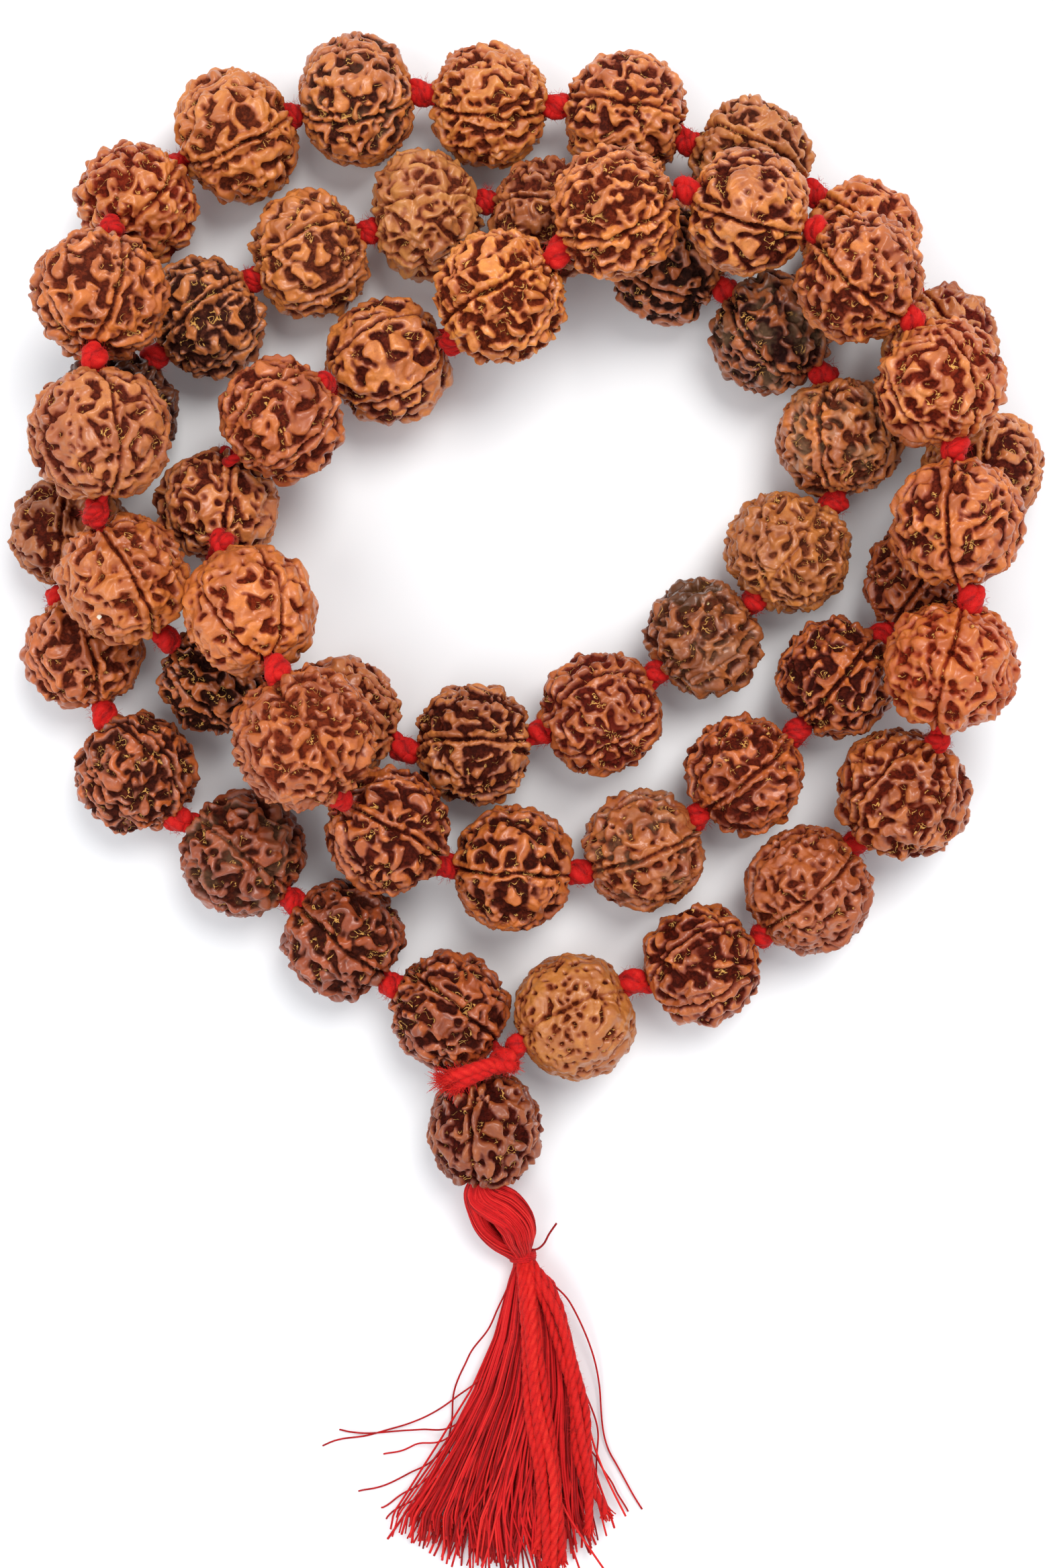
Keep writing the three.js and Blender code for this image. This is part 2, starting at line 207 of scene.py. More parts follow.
def resample(points, count, closed=False):
    """Catmull-Rom through points, at count places evenly spread along it."""
    p = np.asarray(points, float)
    ext = np.concatenate([[2 * p[0] - p[1]], p, [2 * p[-1] - p[-2]]])
    out = []
    for i in range(1, len(ext) - 2):
        u = np.linspace(0, 1, 24, endpoint=False)[:, None]
        a, b, c, d = ext[i - 1 : i + 3]
        out.append(
            0.5
            * (
                2 * b
                + (c - a) * u
                + (2 * a - 5 * b + 4 * c - d) * u**2
                + (3 * b - a - 3 * c + d) * u**3
            )
        )
    out = np.concatenate(out + [p[-1:]])
    s = np.concatenate([[0], np.cumsum(np.linalg.norm(np.diff(out, axis=0), axis=1))])
    w = np.linspace(0, s[-1], count)
    return np.stack([np.interp(w, s, out[:, k]) for k in range(3)], 1)


# ---- materials ------------------------------------------------------------
class Tree:
    def __init__(self, name):
        self.m = bpy.data.materials.new(name)
        self.m.use_nodes = True
        self.t = self.m.node_tree
        self.t.nodes.clear()
        self.out = self.t.nodes.new("ShaderNodeOutputMaterial")
        self.b = self.t.nodes.new("ShaderNodeBsdfPrincipled")
        self.t.links.new(self.b.outputs[0], self.out.inputs[0])
        self.where = self.t.nodes.new("ShaderNodeTexCoord").outputs["Object"]

    def put(self, socket, value):
        if isinstance(value, bpy.types.NodeSocket):
            self.t.links.new(value, socket)
        else:
            socket.default_value = value

    def math(self, op, a, b=0.0, clamp=False):
        n = self.t.nodes.new("ShaderNodeMath")
        n.operation, n.use_clamp = op, clamp
        self.put(n.inputs[0], a)
        self.put(n.inputs[1], b)
        return n.outputs[0]

    def noise(self, mm, detail=2.0, rough=0.5, distortion=0.0, stretch=None):
        """Noise with features about mm across."""
        n = self.t.nodes.new("ShaderNodeTexNoise")
        n.inputs["Scale"].default_value = 1000.0 / mm
        n.inputs["Detail"].default_value = detail
        n.inputs["Roughness"].default_value = rough
        n.inputs["Distortion"].default_value = distortion
        where = self.where
        if stretch:
            k = self.t.nodes.new("ShaderNodeMapping")
            k.inputs["Scale"].default_value = stretch
            self.t.links.new(where, k.inputs["Vector"])
            where = k.outputs[0]
        self.t.links.new(where, n.inputs["Vector"])
        return n.outputs["Fac"]

    def value(self, key):
        n = self.t.nodes.new("ShaderNodeAttribute")
        n.attribute_name = key
        return n.outputs["Fac"]

    def span(self, value, a, b, c=0.0, d=1.0):
        n = self.t.nodes.new("ShaderNodeMapRange")
        n.interpolation_type = "SMOOTHSTEP"
        n.clamp = True
        self.put(n.inputs[0], value)
        for i, v in enumerate((a, b, c, d)):
            n.inputs[i + 1].default_value = v
        return n.outputs[0]

    def mix(self, f, a, b, kind="MIX"):
        n = self.t.nodes.new("ShaderNodeMix")
        n.data_type, n.blend_type = "RGBA", kind
        self.put(n.inputs["Factor"], f)
        self.put(n.inputs[6], a)
        self.put(n.inputs[7], b)
        return n.outputs[2]

    def bump(self, height, strength, distance, before=None):
        n = self.t.nodes.new("ShaderNodeBump")
        n.inputs["Strength"].default_value = strength
        n.inputs["Distance"].default_value = distance
        self.put(n.inputs["Height"], height)
        if before is not None:
            self.put(n.inputs["Normal"], before)
        return n.outputs[0]

    def finish(self, colour, roughness, normal=None, **set_values):
        self.put(self.b.inputs["Base Color"], colour)
        self.put(self.b.inputs["Roughness"], roughness)
        if normal is not None:
            self.put(self.b.inputs["Normal"], normal)
        for k, v in set_values.items():
            self.put(self.b.inputs[k.replace("_", " ")], v)
        return self.m


def seed_material(name, pit, mid, ridge, grey=0.0, marks=()):
    """Polished seed: satin ridges, dark rough pits with dry golden fibres in them. The dark of the low places is
    partly the seed's own colour and partly painted shade.
    """
    t = Tree(name)
    relief = t.value("relief")
    rough_edge = t.math("SUBTRACT", t.noise(0.7, 3, 0.6), 0.5)
    r = t.math("ADD", relief, t.math("MULTIPLY", rough_edge, 0.35))
    pit, mid, ridge = np.array(pit), np.array(mid), np.array(ridge)
    dark = rgb(*(pit * [0.82, 0.66, 0.58]))
    maroon = rgb(*(pit * [1.16, 0.96, 0.78]))
    body = rgb(*np.clip(mid * [1.02, 0.92, 0.76], 0, 250))
    top = rgb(*np.clip(ridge * [1.0, 0.96, 0.74], 0, 250))
    warm = rgb(*np.clip((0.35 * mid + 0.65 * ridge) * [0.98, 0.90, 0.70], 0, 250))
    side = rgb(*np.clip((0.45 * pit + 0.55 * mid) * [1.06, 0.94, 0.82], 0, 250))
    mottle = t.noise(1.1, 3, 0.65, 0.4)
    hollow = t.mix(t.span(mottle, 0.42, 0.58), dark, maroon)
    hollow = t.mix(t.span(mottle, 0.56, 0.70, 0.0, 0.5), hollow, side)
    skin = t.mix(t.span(t.noise(3.2, 3, 0.55), 0.38, 0.64), warm, top)
    skin = t.mix(t.span(t.noise(8.0, 2, 0.5), 0.45, 0.7, 0.0, 0.55), skin, body)
    # thin darker veins wander over the polished skin
    vein = t.math("ABSOLUTE", t.math("SUBTRACT", t.noise(1.5, 3, 0.6, 0.6), 0.5))
    skin = t.mix(t.span(vein, 0.0, 0.03, 0.30, 0.0), skin, body)
    # the colour darkens as relief falls, from skin to hollow: partly the seed's own darker pits, partly painted
    # shade in the hollows
    colour = t.mix(t.span(r, 0.26, 0.52), hollow, side)
    colour = t.mix(t.span(r, 0.46, 0.68), colour, body)
    colour = t.mix(t.span(r, 0.64, 0.92), colour, skin)
    # fibres: the zero line of a fine noise is a thin curled thread
    thread = t.math("ABSOLUTE", t.math("SUBTRACT", t.noise(1.7, 1, 0.5, 0.8), 0.5))
    thread = t.span(thread, 0.0, 0.034, 1.0, 0.0)
    place = t.span(t.noise(3.0, 1, 0.5), 0.53, 0.62)
    inside = t.span(relief, 0.40, 0.66, 1.0, 0.0)
    fleck = t.math("MULTIPLY", t.math("MULTIPLY", thread, place), inside)
    colour = t.mix(t.math("MULTIPLY", fleck, 0.85), colour, rgb(238, 180, 98))
    if grey:
        dust = t.span(t.noise(5.0, 3, 0.6), 0.46, 0.68, 0.0, grey)
        colour = t.mix(dust, colour, rgb(150, 118, 88))
    for k, (_, _, _, tint, share) in enumerate(marks):
        edge = t.math("MULTIPLY", t.math("SUBTRACT", t.noise(1.6, 3, 0.6), 0.5), 0.9)
        seen = t.span(t.math("ADD", t.value("mark_%d" % k), edge), 0.42, 0.60, 0.0, share)
        colour = t.mix(seen, colour, rgb(*tint))
    rough = t.span(relief, 0.2, 0.85, 0.70, 0.31)
    rough = t.math("ADD", rough, t.math("MULTIPLY", t.noise(1.1, 2), 0.10))
    n = t.bump(t.noise(0.9, 3, 0.6), 0.35, 0.00012)
    n = t.bump(t.noise(0.28, 2, 0.5), 0.25, 0.00005, n)
    return t.finish(
        colour,
        rough,
        n,
        Specular_IOR_Level=t.span(relief, 0.35, 0.80, 0.05, 0.52),
        Coat_Weight=t.span(relief, 0.60, 0.90, 0.0, 0.20),
        Coat_Roughness=0.26,
    )


def yarn_material(name, deep, full, bright, fibre=0.2, sheen=0.3):
    t = Tree(name)
    tone = t.value("tone")
    n = t.noise(1.2, 3, 0.6)
    f = t.math("ADD", t.math("MULTIPLY", tone, 0.75), t.math("MULTIPLY", n, 0.45))
    colour = t.mix(t.span(f, 0.15, 0.6), rgb(*deep), rgb(*full))
    colour = t.mix(t.span(f, 0.6, 1.05), colour, rgb(*bright))
    streak = t.noise(fibre, 2, 0.6)
    colour = t.mix(t.span(streak, 0.3, 0.7, 0.22, 0.0), colour, rgb(*deep))
    normal = t.bump(streak, 0.6, 0.00006)
    return t.finish(
        colour,
        t.span(streak, 0.2, 0.8, 0.86, 0.66),
        normal,
        Sheen_Weight=sheen,
        Sheen_Roughness=0.45,
        Sheen_Tint=(1.0, 0.35, 0.3, 1.0),
        Specular_IOR_Level=0.25,
    )


WOOL = yarn_material("red_wool", (132, 4, 7), (206, 18, 15), (232, 46, 32), 0.2, 0.14)
THREAD = yarn_material(
    "tassel_thread", (136, 5, 11), (208, 18, 23), (234, 44, 40), 0.12, 0.14
)
FUZZ = yarn_material("wool_fuzz", (160, 10, 12), (204, 24, 24), (224, 46, 40), 0.3, 0.2)


# ---- seeds ----------------------------------------------------------------
def geodesic(freq):
    g = (1 + 5**0.5) / 2
    v = np.array(
        [
            (-1, g, 0), (1, g, 0), (-1, -g, 0), (1, -g, 0),
            (0, -1, g), (0, 1, g), (0, -1, -g), (0, 1, -g),
            (g, 0, -1), (g, 0, 1), (-g, 0, -1), (-g, 0, 1),
        ],
        float,
    )
    v /= np.linalg.norm(v[0])
    f = [
        (0, 11, 5), (0, 5, 1), (0, 1, 7), (0, 7, 10), (0, 10, 11),
        (1, 5, 9), (5, 11, 4), (11, 10, 2), (10, 7, 6), (7, 1, 8),
        (3, 9, 4), (3, 4, 2), (3, 2, 6), (3, 6, 8), (3, 8, 9),
        (4, 9, 5), (2, 4, 11), (6, 2, 10), (8, 6, 7), (9, 8, 1),
    ]
    rows = [(i, j) for i in range(freq + 1) for j in range(freq + 1 - i)]
    index = {ij: k for k, ij in enumerate(rows)}
    i = np.array([r[0] for r in rows])
    j = np.array([r[1] for r in rows])
    up = [
        (index[a, b], index[a + 1, b], index[a, b + 1])
        for a in range(freq)
        for b in range(freq - a)
    ]
    down = [
        (index[a + 1, b], index[a + 1, b + 1], index[a, b + 1])
        for a in range(freq - 1)
        for b in range(freq - 1 - a)
    ]
    small = np.array(up + down)
    pts, tris = [], []
    for n, (a, b, c) in enumerate(f):
        p = (
            v[a] * (freq - i - j)[:, None] + v[b] * i[:, None] + v[c] * j[:, None]
        ) / freq
        pts.append(p)
        tris.append(small + n * len(rows))
    pts = np.concatenate(pts)
    tris = np.concatenate(tris)
    key = np.round(pts, 7) + 0.0
    _, first, inverse = np.unique(key, axis=0, return_index=True, return_inverse=True)
    pts = pts[first]
    tris = inverse.reshape(-1)[tris]
    pts /= np.linalg.norm(pts, axis=1, keepdims=True)
    return pts, tris


class Field:
    """Sum of plane waves whose lengths are near one value, scaled to a spread of 1."""

    def __init__(self, rng, mm, spread=0.25, waves=26):
        d = rng.normal(size=(waves, 3))
        d /= np.linalg.norm(d, axis=1, keepdims=True)
        k = 2 * np.pi / (mm * (1 + spread * rng.uniform(-1, 1, waves)))
        self.k = (d * k[:, None]).T
        self.phase = rng.uniform(0, 2 * np.pi, waves)
        self.scale = (2 / waves) ** 0.5

    def __call__(self, p):
        return np.cos(p @ self.k + self.phase).sum(1) * self.scale


def smooth(x, a, b):
    t = np.clip((x - a) / (b - a), 0, 1)
    return t * t * (3 - 2 * t)


def base_radius(s, t, across, along):
    """Radius of the smooth body in the direction (s out from the hole, t along it)."""
    ell = ((np.abs(t) / (along + 1.3)) ** 2.1 + (s / (across - 0.1)) ** 2.1) ** (-1 / 2.1)
    prof = [
        (across, 0.0),
        (across, 0.22 * along),
        (0.68 * across, 0.72 * along),
        (1.5, 1.0 * along),
        (0.0, 1.0 * along),
    ]
    poly = np.full(len(s), 1e9)
    for (r0, y0), (r1, y1) in zip(prof, prof[1:]):
        nx, ny = y1 - y0, r0 - r1
        k = math.hypot(nx, ny)
        nx, ny = nx / k, ny / k
        d = r0 * nx + y0 * ny
        c = s * nx + np.abs(t) * ny
        poly = np.minimum(poly, np.where(c > 1e-3, d / np.maximum(c, 1e-3), 1e9))
    poly = poly + 1.6
    return (ell**-14 + poly**-14) ** (-1 / 14)


# One row for each seed, along the cord, the guru bead last: display colour of its
# pits, of its body and of its polished ridges. The pit colours hold some of the shade in the pits: painted
# shade.
TONES = [
    ((84, 36, 19), (152, 88, 52), (192, 124, 73)),
    ((68, 23, 14), (126, 57, 36), (196, 111, 63)),
    ((80, 33, 21), (134, 67, 41), (178, 97, 60)),
    ((78, 26, 14), (127, 62, 37), (195, 113, 67)),
    ((106, 37, 21), (162, 77, 44), (207, 119, 64)),
    ((77, 29, 20), (149, 74, 48), (213, 125, 70)),
    ((93, 33, 21), (162, 85, 54), (217, 136, 87)),
    ((83, 34, 23), (146, 76, 49), (213, 128, 74)),
    ((71, 28, 20), (145, 80, 54), (220, 140, 84)),
    ((87, 36, 22), (158, 91, 59), (227, 141, 80)),
    ((88, 37, 21), (174, 99, 58), (230, 150, 87)),
    ((73, 30, 23), (140, 76, 53), (218, 137, 83)),
    ((82, 34, 23), (143, 72, 46), (201, 116, 73)),
    ((82, 36, 28), (155, 89, 66), (213, 136, 92)),
    ((97, 37, 21), (157, 84, 52), (217, 129, 73)),
    ((99, 44, 28), (145, 76, 47), (199, 112, 61)),
    ((69, 26, 18), (124, 60, 38), (198, 109, 58)),
    ((59, 22, 14), (133, 67, 40), (202, 115, 62)),
    ((74, 30, 18), (137, 70, 42), (181, 105, 64)),
    ((79, 30, 20), (124, 59, 38), (197, 106, 60)),
    ((57, 20, 14), (114, 50, 32), (197, 109, 62)),
    ((71, 30, 23), (133, 63, 41), (181, 96, 58)),
    ((77, 32, 26), (163, 96, 67), (213, 135, 86)),
    ((82, 27, 22), (137, 67, 47), (205, 133, 87)),
    ((91, 38, 29), (174, 94, 60), (222, 138, 82)),
    ((74, 39, 28), (158, 95, 64), (204, 135, 88)),
    ((78, 35, 27), (163, 91, 63), (220, 139, 88)),
    ((86, 40, 27), (170, 95, 59), (213, 139, 84)),
    ((65, 34, 28), (151, 86, 58), (212, 132, 80)),
    ((87, 43, 29), (166, 95, 58), (209, 132, 79)),
    ((99, 37, 25), (155, 81, 52), (215, 134, 82)),
    ((89, 42, 30), (148, 82, 52), (209, 121, 66)),
    ((88, 41, 31), (153, 87, 61), (201, 126, 83)),
    ((96, 43, 27), (156, 84, 52), (203, 121, 69)),
    ((40, 18, 13), (109, 56, 36), (187, 103, 61)),
    ((66, 26, 18), (166, 95, 65), (192, 120, 83)),
    ((60, 23, 15), (129, 71, 49), (203, 127, 82)),
    ((82, 29, 22), (124, 58, 38), (194, 110, 67)),
    ((70, 36, 25), (106, 57, 37), (172, 100, 62)),
    ((88, 49, 34), (147, 88, 57), (200, 128, 78)),
    ((74, 36, 25), (138, 77, 53), (208, 127, 79)),
    ((43, 22, 21), (98, 53, 42), (183, 105, 69)),
    ((41, 24, 21), (122, 67, 49), (195, 113, 72)),
    ((84, 40, 30), (138, 79, 54), (186, 113, 78)),
    ((97, 51, 36), (159, 98, 69), (205, 142, 99)),
    ((88, 47, 35), (156, 95, 66), (215, 136, 84)),
    ((58, 33, 29), (131, 80, 60), (214, 134, 89)),
    ((42, 21, 18), (69, 35, 30), (108, 61, 44)),
    ((82, 35, 26), (134, 77, 51), (189, 115, 72)),
    ((80, 35, 24), (148, 79, 53), (204, 115, 68)),
    ((58, 26, 20), (119, 62, 41), (193, 101, 57)),
    ((59, 26, 18), (108, 51, 33), (166, 82, 51)),
    ((58, 26, 19), (109, 53, 34), (169, 82, 49)),
    ((58, 21, 14), (114, 53, 34), (183, 95, 53)),
    ((57, 16, 10), (108, 48, 31), (163, 89, 54)),
]
# How each seed's skin is: furrow is where one of its five furrows lies, as the sine
# of its angle from the top, + to the right of the hole's direction; pitted is the
# share of the skin taken by pits, size the width of a ridge and a pit together in mm,
# flat how level the polished skin is, knob how far it stands in knobs.
PLAIN = dict(furrow=None, pitted=0.40, size=2.9, flat=0.0, knob=1.0, grey=0.0, lip=1.0,
             dimples=46)
SEEDS = {
    "bead_01": dict(furrow=-0.15, pitted=0.10, size=2.4, flat=0.9, knob=0.8, lip=0.5, dimples=230),
    "bead_02": dict(furrow=-0.52, pitted=0.42, size=3.2, flat=0.3),
    "bead_03": dict(furrow=0.12, pitted=0.20, size=2.6, flat=0.2, knob=0.9, dimples=170),
    "bead_04": dict(furrow=-0.45, pitted=0.36, size=3.1, dimples=90),
    "bead_05": dict(furrow=-0.07, pitted=0.24, size=3.0, dimples=130),
    "bead_06": dict(furrow=-0.12, pitted=0.34, size=3.3),
    "bead_07": dict(furrow=0.50, pitted=0.40, size=3.0),
    "bead_08": dict(furrow=-0.12, pitted=0.42, size=2.8),
    "bead_09": dict(furrow=-0.22, pitted=0.38, size=3.6, flat=0.4, dimples=90),
    "bead_10": dict(furrow=-0.30, pitted=0.46, size=2.7, knob=1.3),
    "bead_11": dict(furrow=0.22, pitted=0.46, size=2.7, knob=1.4),
    "bead_12": dict(furrow=-0.58, pitted=0.34, size=3.9, flat=0.5),
    "bead_13": dict(furrow=0.57, pitted=0.40, size=3.0),
    "bead_14": dict(furrow=-0.18, pitted=0.38, size=2.9, flat=0.4),
    "bead_15": dict(furrow=-0.55, pitted=0.18, size=3.4, flat=0.5, knob=0.8, dimples=90),
    "bead_16": dict(furrow=-0.10, pitted=0.46, size=2.7, knob=1.2, lip=0.5),
    "bead_17": dict(furrow=-0.08, pitted=0.46, size=2.8),
    "bead_18": dict(furrow=0.12, pitted=0.36, size=3.3, flat=0.3, dimples=80),
    "bead_19": dict(furrow=0.10, pitted=0.26, size=2.8, grey=0.25, dimples=110),
    "bead_20": dict(furrow=0.13, pitted=0.42, size=2.7),
    "bead_21": dict(furrow=0.07, pitted=0.46, size=2.7),
    "bead_25": dict(furrow=0.30),
    "bead_26": dict(furrow=0.38, pitted=0.36),
    "bead_27": dict(furrow=0.25, pitted=0.38, size=2.7),
    "bead_28": dict(furrow=-0.20, pitted=0.32, size=2.4, knob=1.3, flat=0.2),
    "bead_29": dict(furrow=-0.33, pitted=0.36, size=2.7, flat=0.4, grey=0.2),
    "bead_30": dict(furrow=-0.17, pitted=0.34, size=3.0),
    "bead_31": dict(furrow=-0.15, pitted=0.42, size=2.9),
    "bead_32": dict(furrow=-0.25, pitted=0.34, size=2.7),
    "bead_33": dict(furrow=-0.28, pitted=0.36, size=3.0, flat=0.4),
    "bead_34": dict(furrow=-0.12, pitted=0.30, size=2.7),
    "bead_35": dict(pitted=0.52, size=2.6, knob=1.3),
    "bead_37": dict(furrow=-0.12, pitted=0.48, size=2.6, knob=1.2),
    "bead_38": dict(furrow=-0.58, pitted=0.42, size=2.8, flat=0.2),
    "bead_39": dict(furrow=-0.70, pitted=0.36, size=2.6, knob=1.1, grey=0.2, lip=0.2),
    "bead_40": dict(furrow=0.05, pitted=0.26, size=2.5, knob=1.3, lip=0.4),
    "bead_41": dict(furrow=-0.35, pitted=0.34, size=2.5, flat=0.5, grey=0.4),
    "bead_42": dict(furrow=-0.40, pitted=0.44, size=2.9, grey=0.35),
    "bead_43": dict(furrow=-0.50, pitted=0.48),
    "bead_44": dict(furrow=0.30, pitted=0.46, size=2.6),
    "bead_45": dict(furrow=0.37, pitted=0.30, size=2.7, knob=1.3, lip=0.6),
    "bead_46": dict(furrow=0.40, pitted=0.38, size=3.0, knob=1.2),
    "bead_47": dict(furrow=0.30, pitted=0.50, size=2.7, knob=1.3),
    "bead_49": dict(furrow=0.20, pitted=0.38, size=3.0),
    "bead_50": dict(furrow=-0.10, pitted=0.40, size=2.8),
    "bead_51": dict(furrow=-0.56, pitted=0.48, size=2.8),
    "bead_52": dict(furrow=0.0, pitted=0.38, size=2.8, lip=0.6, grey=0.2),
    "bead_53": dict(furrow=0.12, pitted=0.44, size=2.9, flat=0.2),
    "bead_54": dict(furrow=-0.18, pitted=0.42, size=2.8, knob=1.1),
    "guru_bead": dict(furrow=0.25, pitted=0.42, size=2.9, flat=0.5, knob=1.2),
}

# Chips and stains of single seeds: where from the middle, as seen from above, and how
# wide, in mm, then their colour and strength.
MARKS = {
    "bead_39": [(-2.3, 8.0, 4.6, (74, 46, 26), 0.75), (-0.3, 5.6, 0.75, (226, 200, 142), 0.95)],
    "bead_34": [(-3.0, -7.0, 0.5, (236, 226, 206), 0.95)],
}

UNIT, TRIS = geodesic(FREQUENCY)
AXIS_OF = {
    j["child"]: np.array(j["axis"], float)
    for j in frame["joints"]
    if j["child"].startswith("bead_") or j["child"] == "guru_bead"
}


def measure(node):
    axis = AXIS_OF[node] / np.linalg.norm(AXIS_OF[node])
    data = frame["nodes"][node].data
    co = np.empty(len(data.vertices) * 3)
    data.vertices.foreach_get("co", co)
    co = co.reshape(-1, 3) * 1000
    y = co @ axis
    mid, half = (y.max() + y.min()) / 2, (y.max() - y.min()) / 2
    ring = np.unique(np.round(co[np.abs(y - mid) < 0.4 * half], 3), axis=0)
    centre = ring.mean(0)
    centre = centre + axis * (mid - centre @ axis)
    d = co - centre
    d = d - (d @ axis)[:, None] * axis
    return centre, axis, float(np.linalg.norm(d, axis=1).max()), half / POLE


def make_seed(index, node):
    look = {**PLAIN, **SEEDS.get(node, {})}
    centre, axis, across, along = measure(node)
    rng = np.random.default_rng(4100 + index)
    see = CAMERA - centre
    up = see - (see @ axis) * axis
    up /= np.linalg.norm(up)
    side = np.cross(axis, up)
    basis = np.stack([side, axis, up])  # rows: local x, y, z
    u = UNIT
    s = np.hypot(u[:, 0], u[:, 2])
    R = base_radius(s, u[:, 1], across, along)
    p = u * R[:, None]
    q = p + rng.uniform(-50, 50, 3)
    warp = np.stack([Field(rng, 5.5, 0.4, 12)(q) for _ in range(3)], 1)
    q = q + 0.45 * warp
    size = 1.08 * look["size"]
    big = Field(rng, size, 0.35, 34)(q)
    fine = Field(rng, 0.46 * size, 0.3)(q)
    tiny = Field(rng, 0.8, 0.3, 22)(q)
    grain = Field(rng, 0.5, 0.2, 22)(q)
    slow = Field(rng, 12.0, 0.4, 14)(p)
    lump = Field(rng, 5.0, 0.3, 20)(p)
    knob = Field(rng, 2.3, 0.25, 26)(q + 7.0)

    # furrows from hole to hole
    first = math.asin(look["furrow"]) if look["furrow"] is not None else rng.uniform(
        -0.63, 0.63
    )
    angles = first + np.arange(5) * 2 * np.pi / 5 + rng.normal(0, 0.06, 5) * (
        np.arange(5) > 0
    )
    lon = np.arctan2(u[:, 0], u[:, 2])
    ring = np.maximum(R * s, 0.4)
    groove = np.zeros(len(u))
    lips = np.zeros(len(u))
    beside = np.zeros(len(u))
    nearest = np.full(len(u), 1e9)
    for a in angles:
        wob = 0.04 * np.sin(2.2 * u[:, 1] + rng.uniform(0, 6)) + 0.018 * np.sin(
            7.5 * u[:, 1] + rng.uniform(0, 6)
        )
        d = (lon - a - wob + np.pi) % (2 * np.pi) - np.pi
        mm = np.abs(d) * ring + 0.05 * tiny
        nearest = np.minimum(nearest, mm)
        strength = 0.85 + 0.25 * np.sin(5 * u[:, 1] + rng.uniform(0, 6))
        groove = np.maximum(groove, strength * np.exp(-((mm / 0.31) ** 2)))
        lips = np.maximum(lips, np.exp(-(((mm - 0.85) / 0.48) ** 2)))
        beside = np.maximum(beside, np.exp(-(((mm - 2.1) / 0.5) ** 2)))

    score = big + 0.22 * fine + 0.04 * tiny + 0.25 * slow
    # round dimples sunk in the broad ridges
    count = look["dimples"]
    spots = rng.normal(size=(count, 3))
    spots /= np.linalg.norm(spots, axis=1, keepdims=True)
    wide = rng.uniform(0.34, 0.62, count)
    deep = rng.uniform(0.5, 1.0, count)
    away = np.sqrt(np.maximum(2 - 2 * (u @ spots.T), 0)) * R[:, None]
    dimple = (deep * np.exp(-((away / wide) ** 2))).max(1)
    rim = (deep * np.exp(-(((away - 2.1 * wide) / (0.8 * wide)) ** 2))).max(1)
    score = score + 0.35 * rim
    score = score + look["lip"] * (
        1.9 * lips * (0.8 + 0.35 * np.tanh(1.5 * lump)) - 0.55 * beside
    )
    cut = np.quantile(score, look["pitted"])
    open_ = score - cut
    flat = look["flat"]
    ridge = np.tanh((1.15 + 1.6 * flat) * np.maximum(open_, 0))
    pit = np.tanh(1.5 * np.maximum(-open_, 0))
    D = (0.62 - 0.2 * flat) * ridge - 0.95 * pit
    # relief: how high the skin stands, which sets its colour; low places get the dark hollow colours, partly the
    # seed's own and partly painted shade
    relief = np.clip((D + 0.75) / 1.25, 0, 1)
    dome = np.tanh((0.62 + 0.9 * flat) * np.maximum(open_, 0))
    D = (0.74 - 0.30 * flat) * dome - 0.60 * pit - 0.05
    D += look["knob"] * ridge * (1 - 0.5 * flat) * (0.17 * knob + 0.03 * fine)
    D -= 0.75 * dimple * (0.35 + 0.65 * ridge)
    # dimples take the dark hollow colours: partly the seed's own, partly painted shade
    relief = relief * (1 - np.clip(1.25 * dimple, 0, 1) * 0.9)
    D += 0.05 * tiny * (0.3 + 1.6 * pit) + 0.02 * grain + 0.05 * grain * pit
    D += (0.26 - 0.06 * flat) * lump
    D -= 0.40 * np.exp(-((nearest / 2.0) ** 2)) + 0.58
    D -= 0.95 * groove * (0.55 + 0.45 * look["lip"])
    # the furrows take the dark hollow colours: partly the seed's own, partly painted shade
    relief = relief * (1 - np.clip(1.15 * groove, 0, 1) * 0.95 * look["lip"])
    # the mouth of the hole
    rho = R * s
    D = np.where(D > 0.25, 0.25 + 0.5 * np.tanh((D - 0.25) / 0.5), D)
    D = D * smooth(rho, 0.8, 3.2)
    D = D - 1.25 * np.exp(-((rho / 2.6) ** 2)) - 4.0 * smooth(1.75 - rho, 0.0, 0.5)
    # the hole's mouth takes the darkest colours: painted shade
    relief = relief * smooth(rho, 1.2, 2.0)
    local = u * (R + D)[:, None]
    verts = centre + local @ basis
    verts[:, 2] = np.maximum(verts[:, 2], 0.02)
    pit, mid, ridge = TONES[index]
    marks = MARKS.get(node, ())
    values = {"relief": relief}
    for k, (mx, my, size, _, _) in enumerate(marks):
        top = np.array([mx, my, math.sqrt(max(along**2 - mx * mx - my * my, 1.0))])
        away = np.linalg.norm(local @ basis - top, axis=1)
        values["mark_%d" % k] = np.exp(-((away / (1.25 * size)) ** 2))
    m = seed_material(node + "_skin", pit, mid, ridge, look["grey"], marks)
    tris = TRIS if np.linalg.det(basis) > 0 else TRIS[:, ::-1]
    o = mesh_object(node + "_seed", verts, tris, values, [m])
    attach(o, node)
    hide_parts(node)
    return o, (centre, axis, across, along)


NAMES = [f"bead_{i:02d}" for i in range(1, 55)] + ["guru_bead"]
made = {}
for i, n in enumerate(NAMES):
    o, made[n] = make_seed(i, n)


# ---- the cord and its knots -----------------------------------------------
beads = [made[n] for n in NAMES[:-1]]
guru = made["guru_bead"]
TIE = at(-4.0, -48.2, 14.5)
EYE = at(-8.0, -72.7, 9.2)
NECK = at(-0.7, -83.9, 4.0)


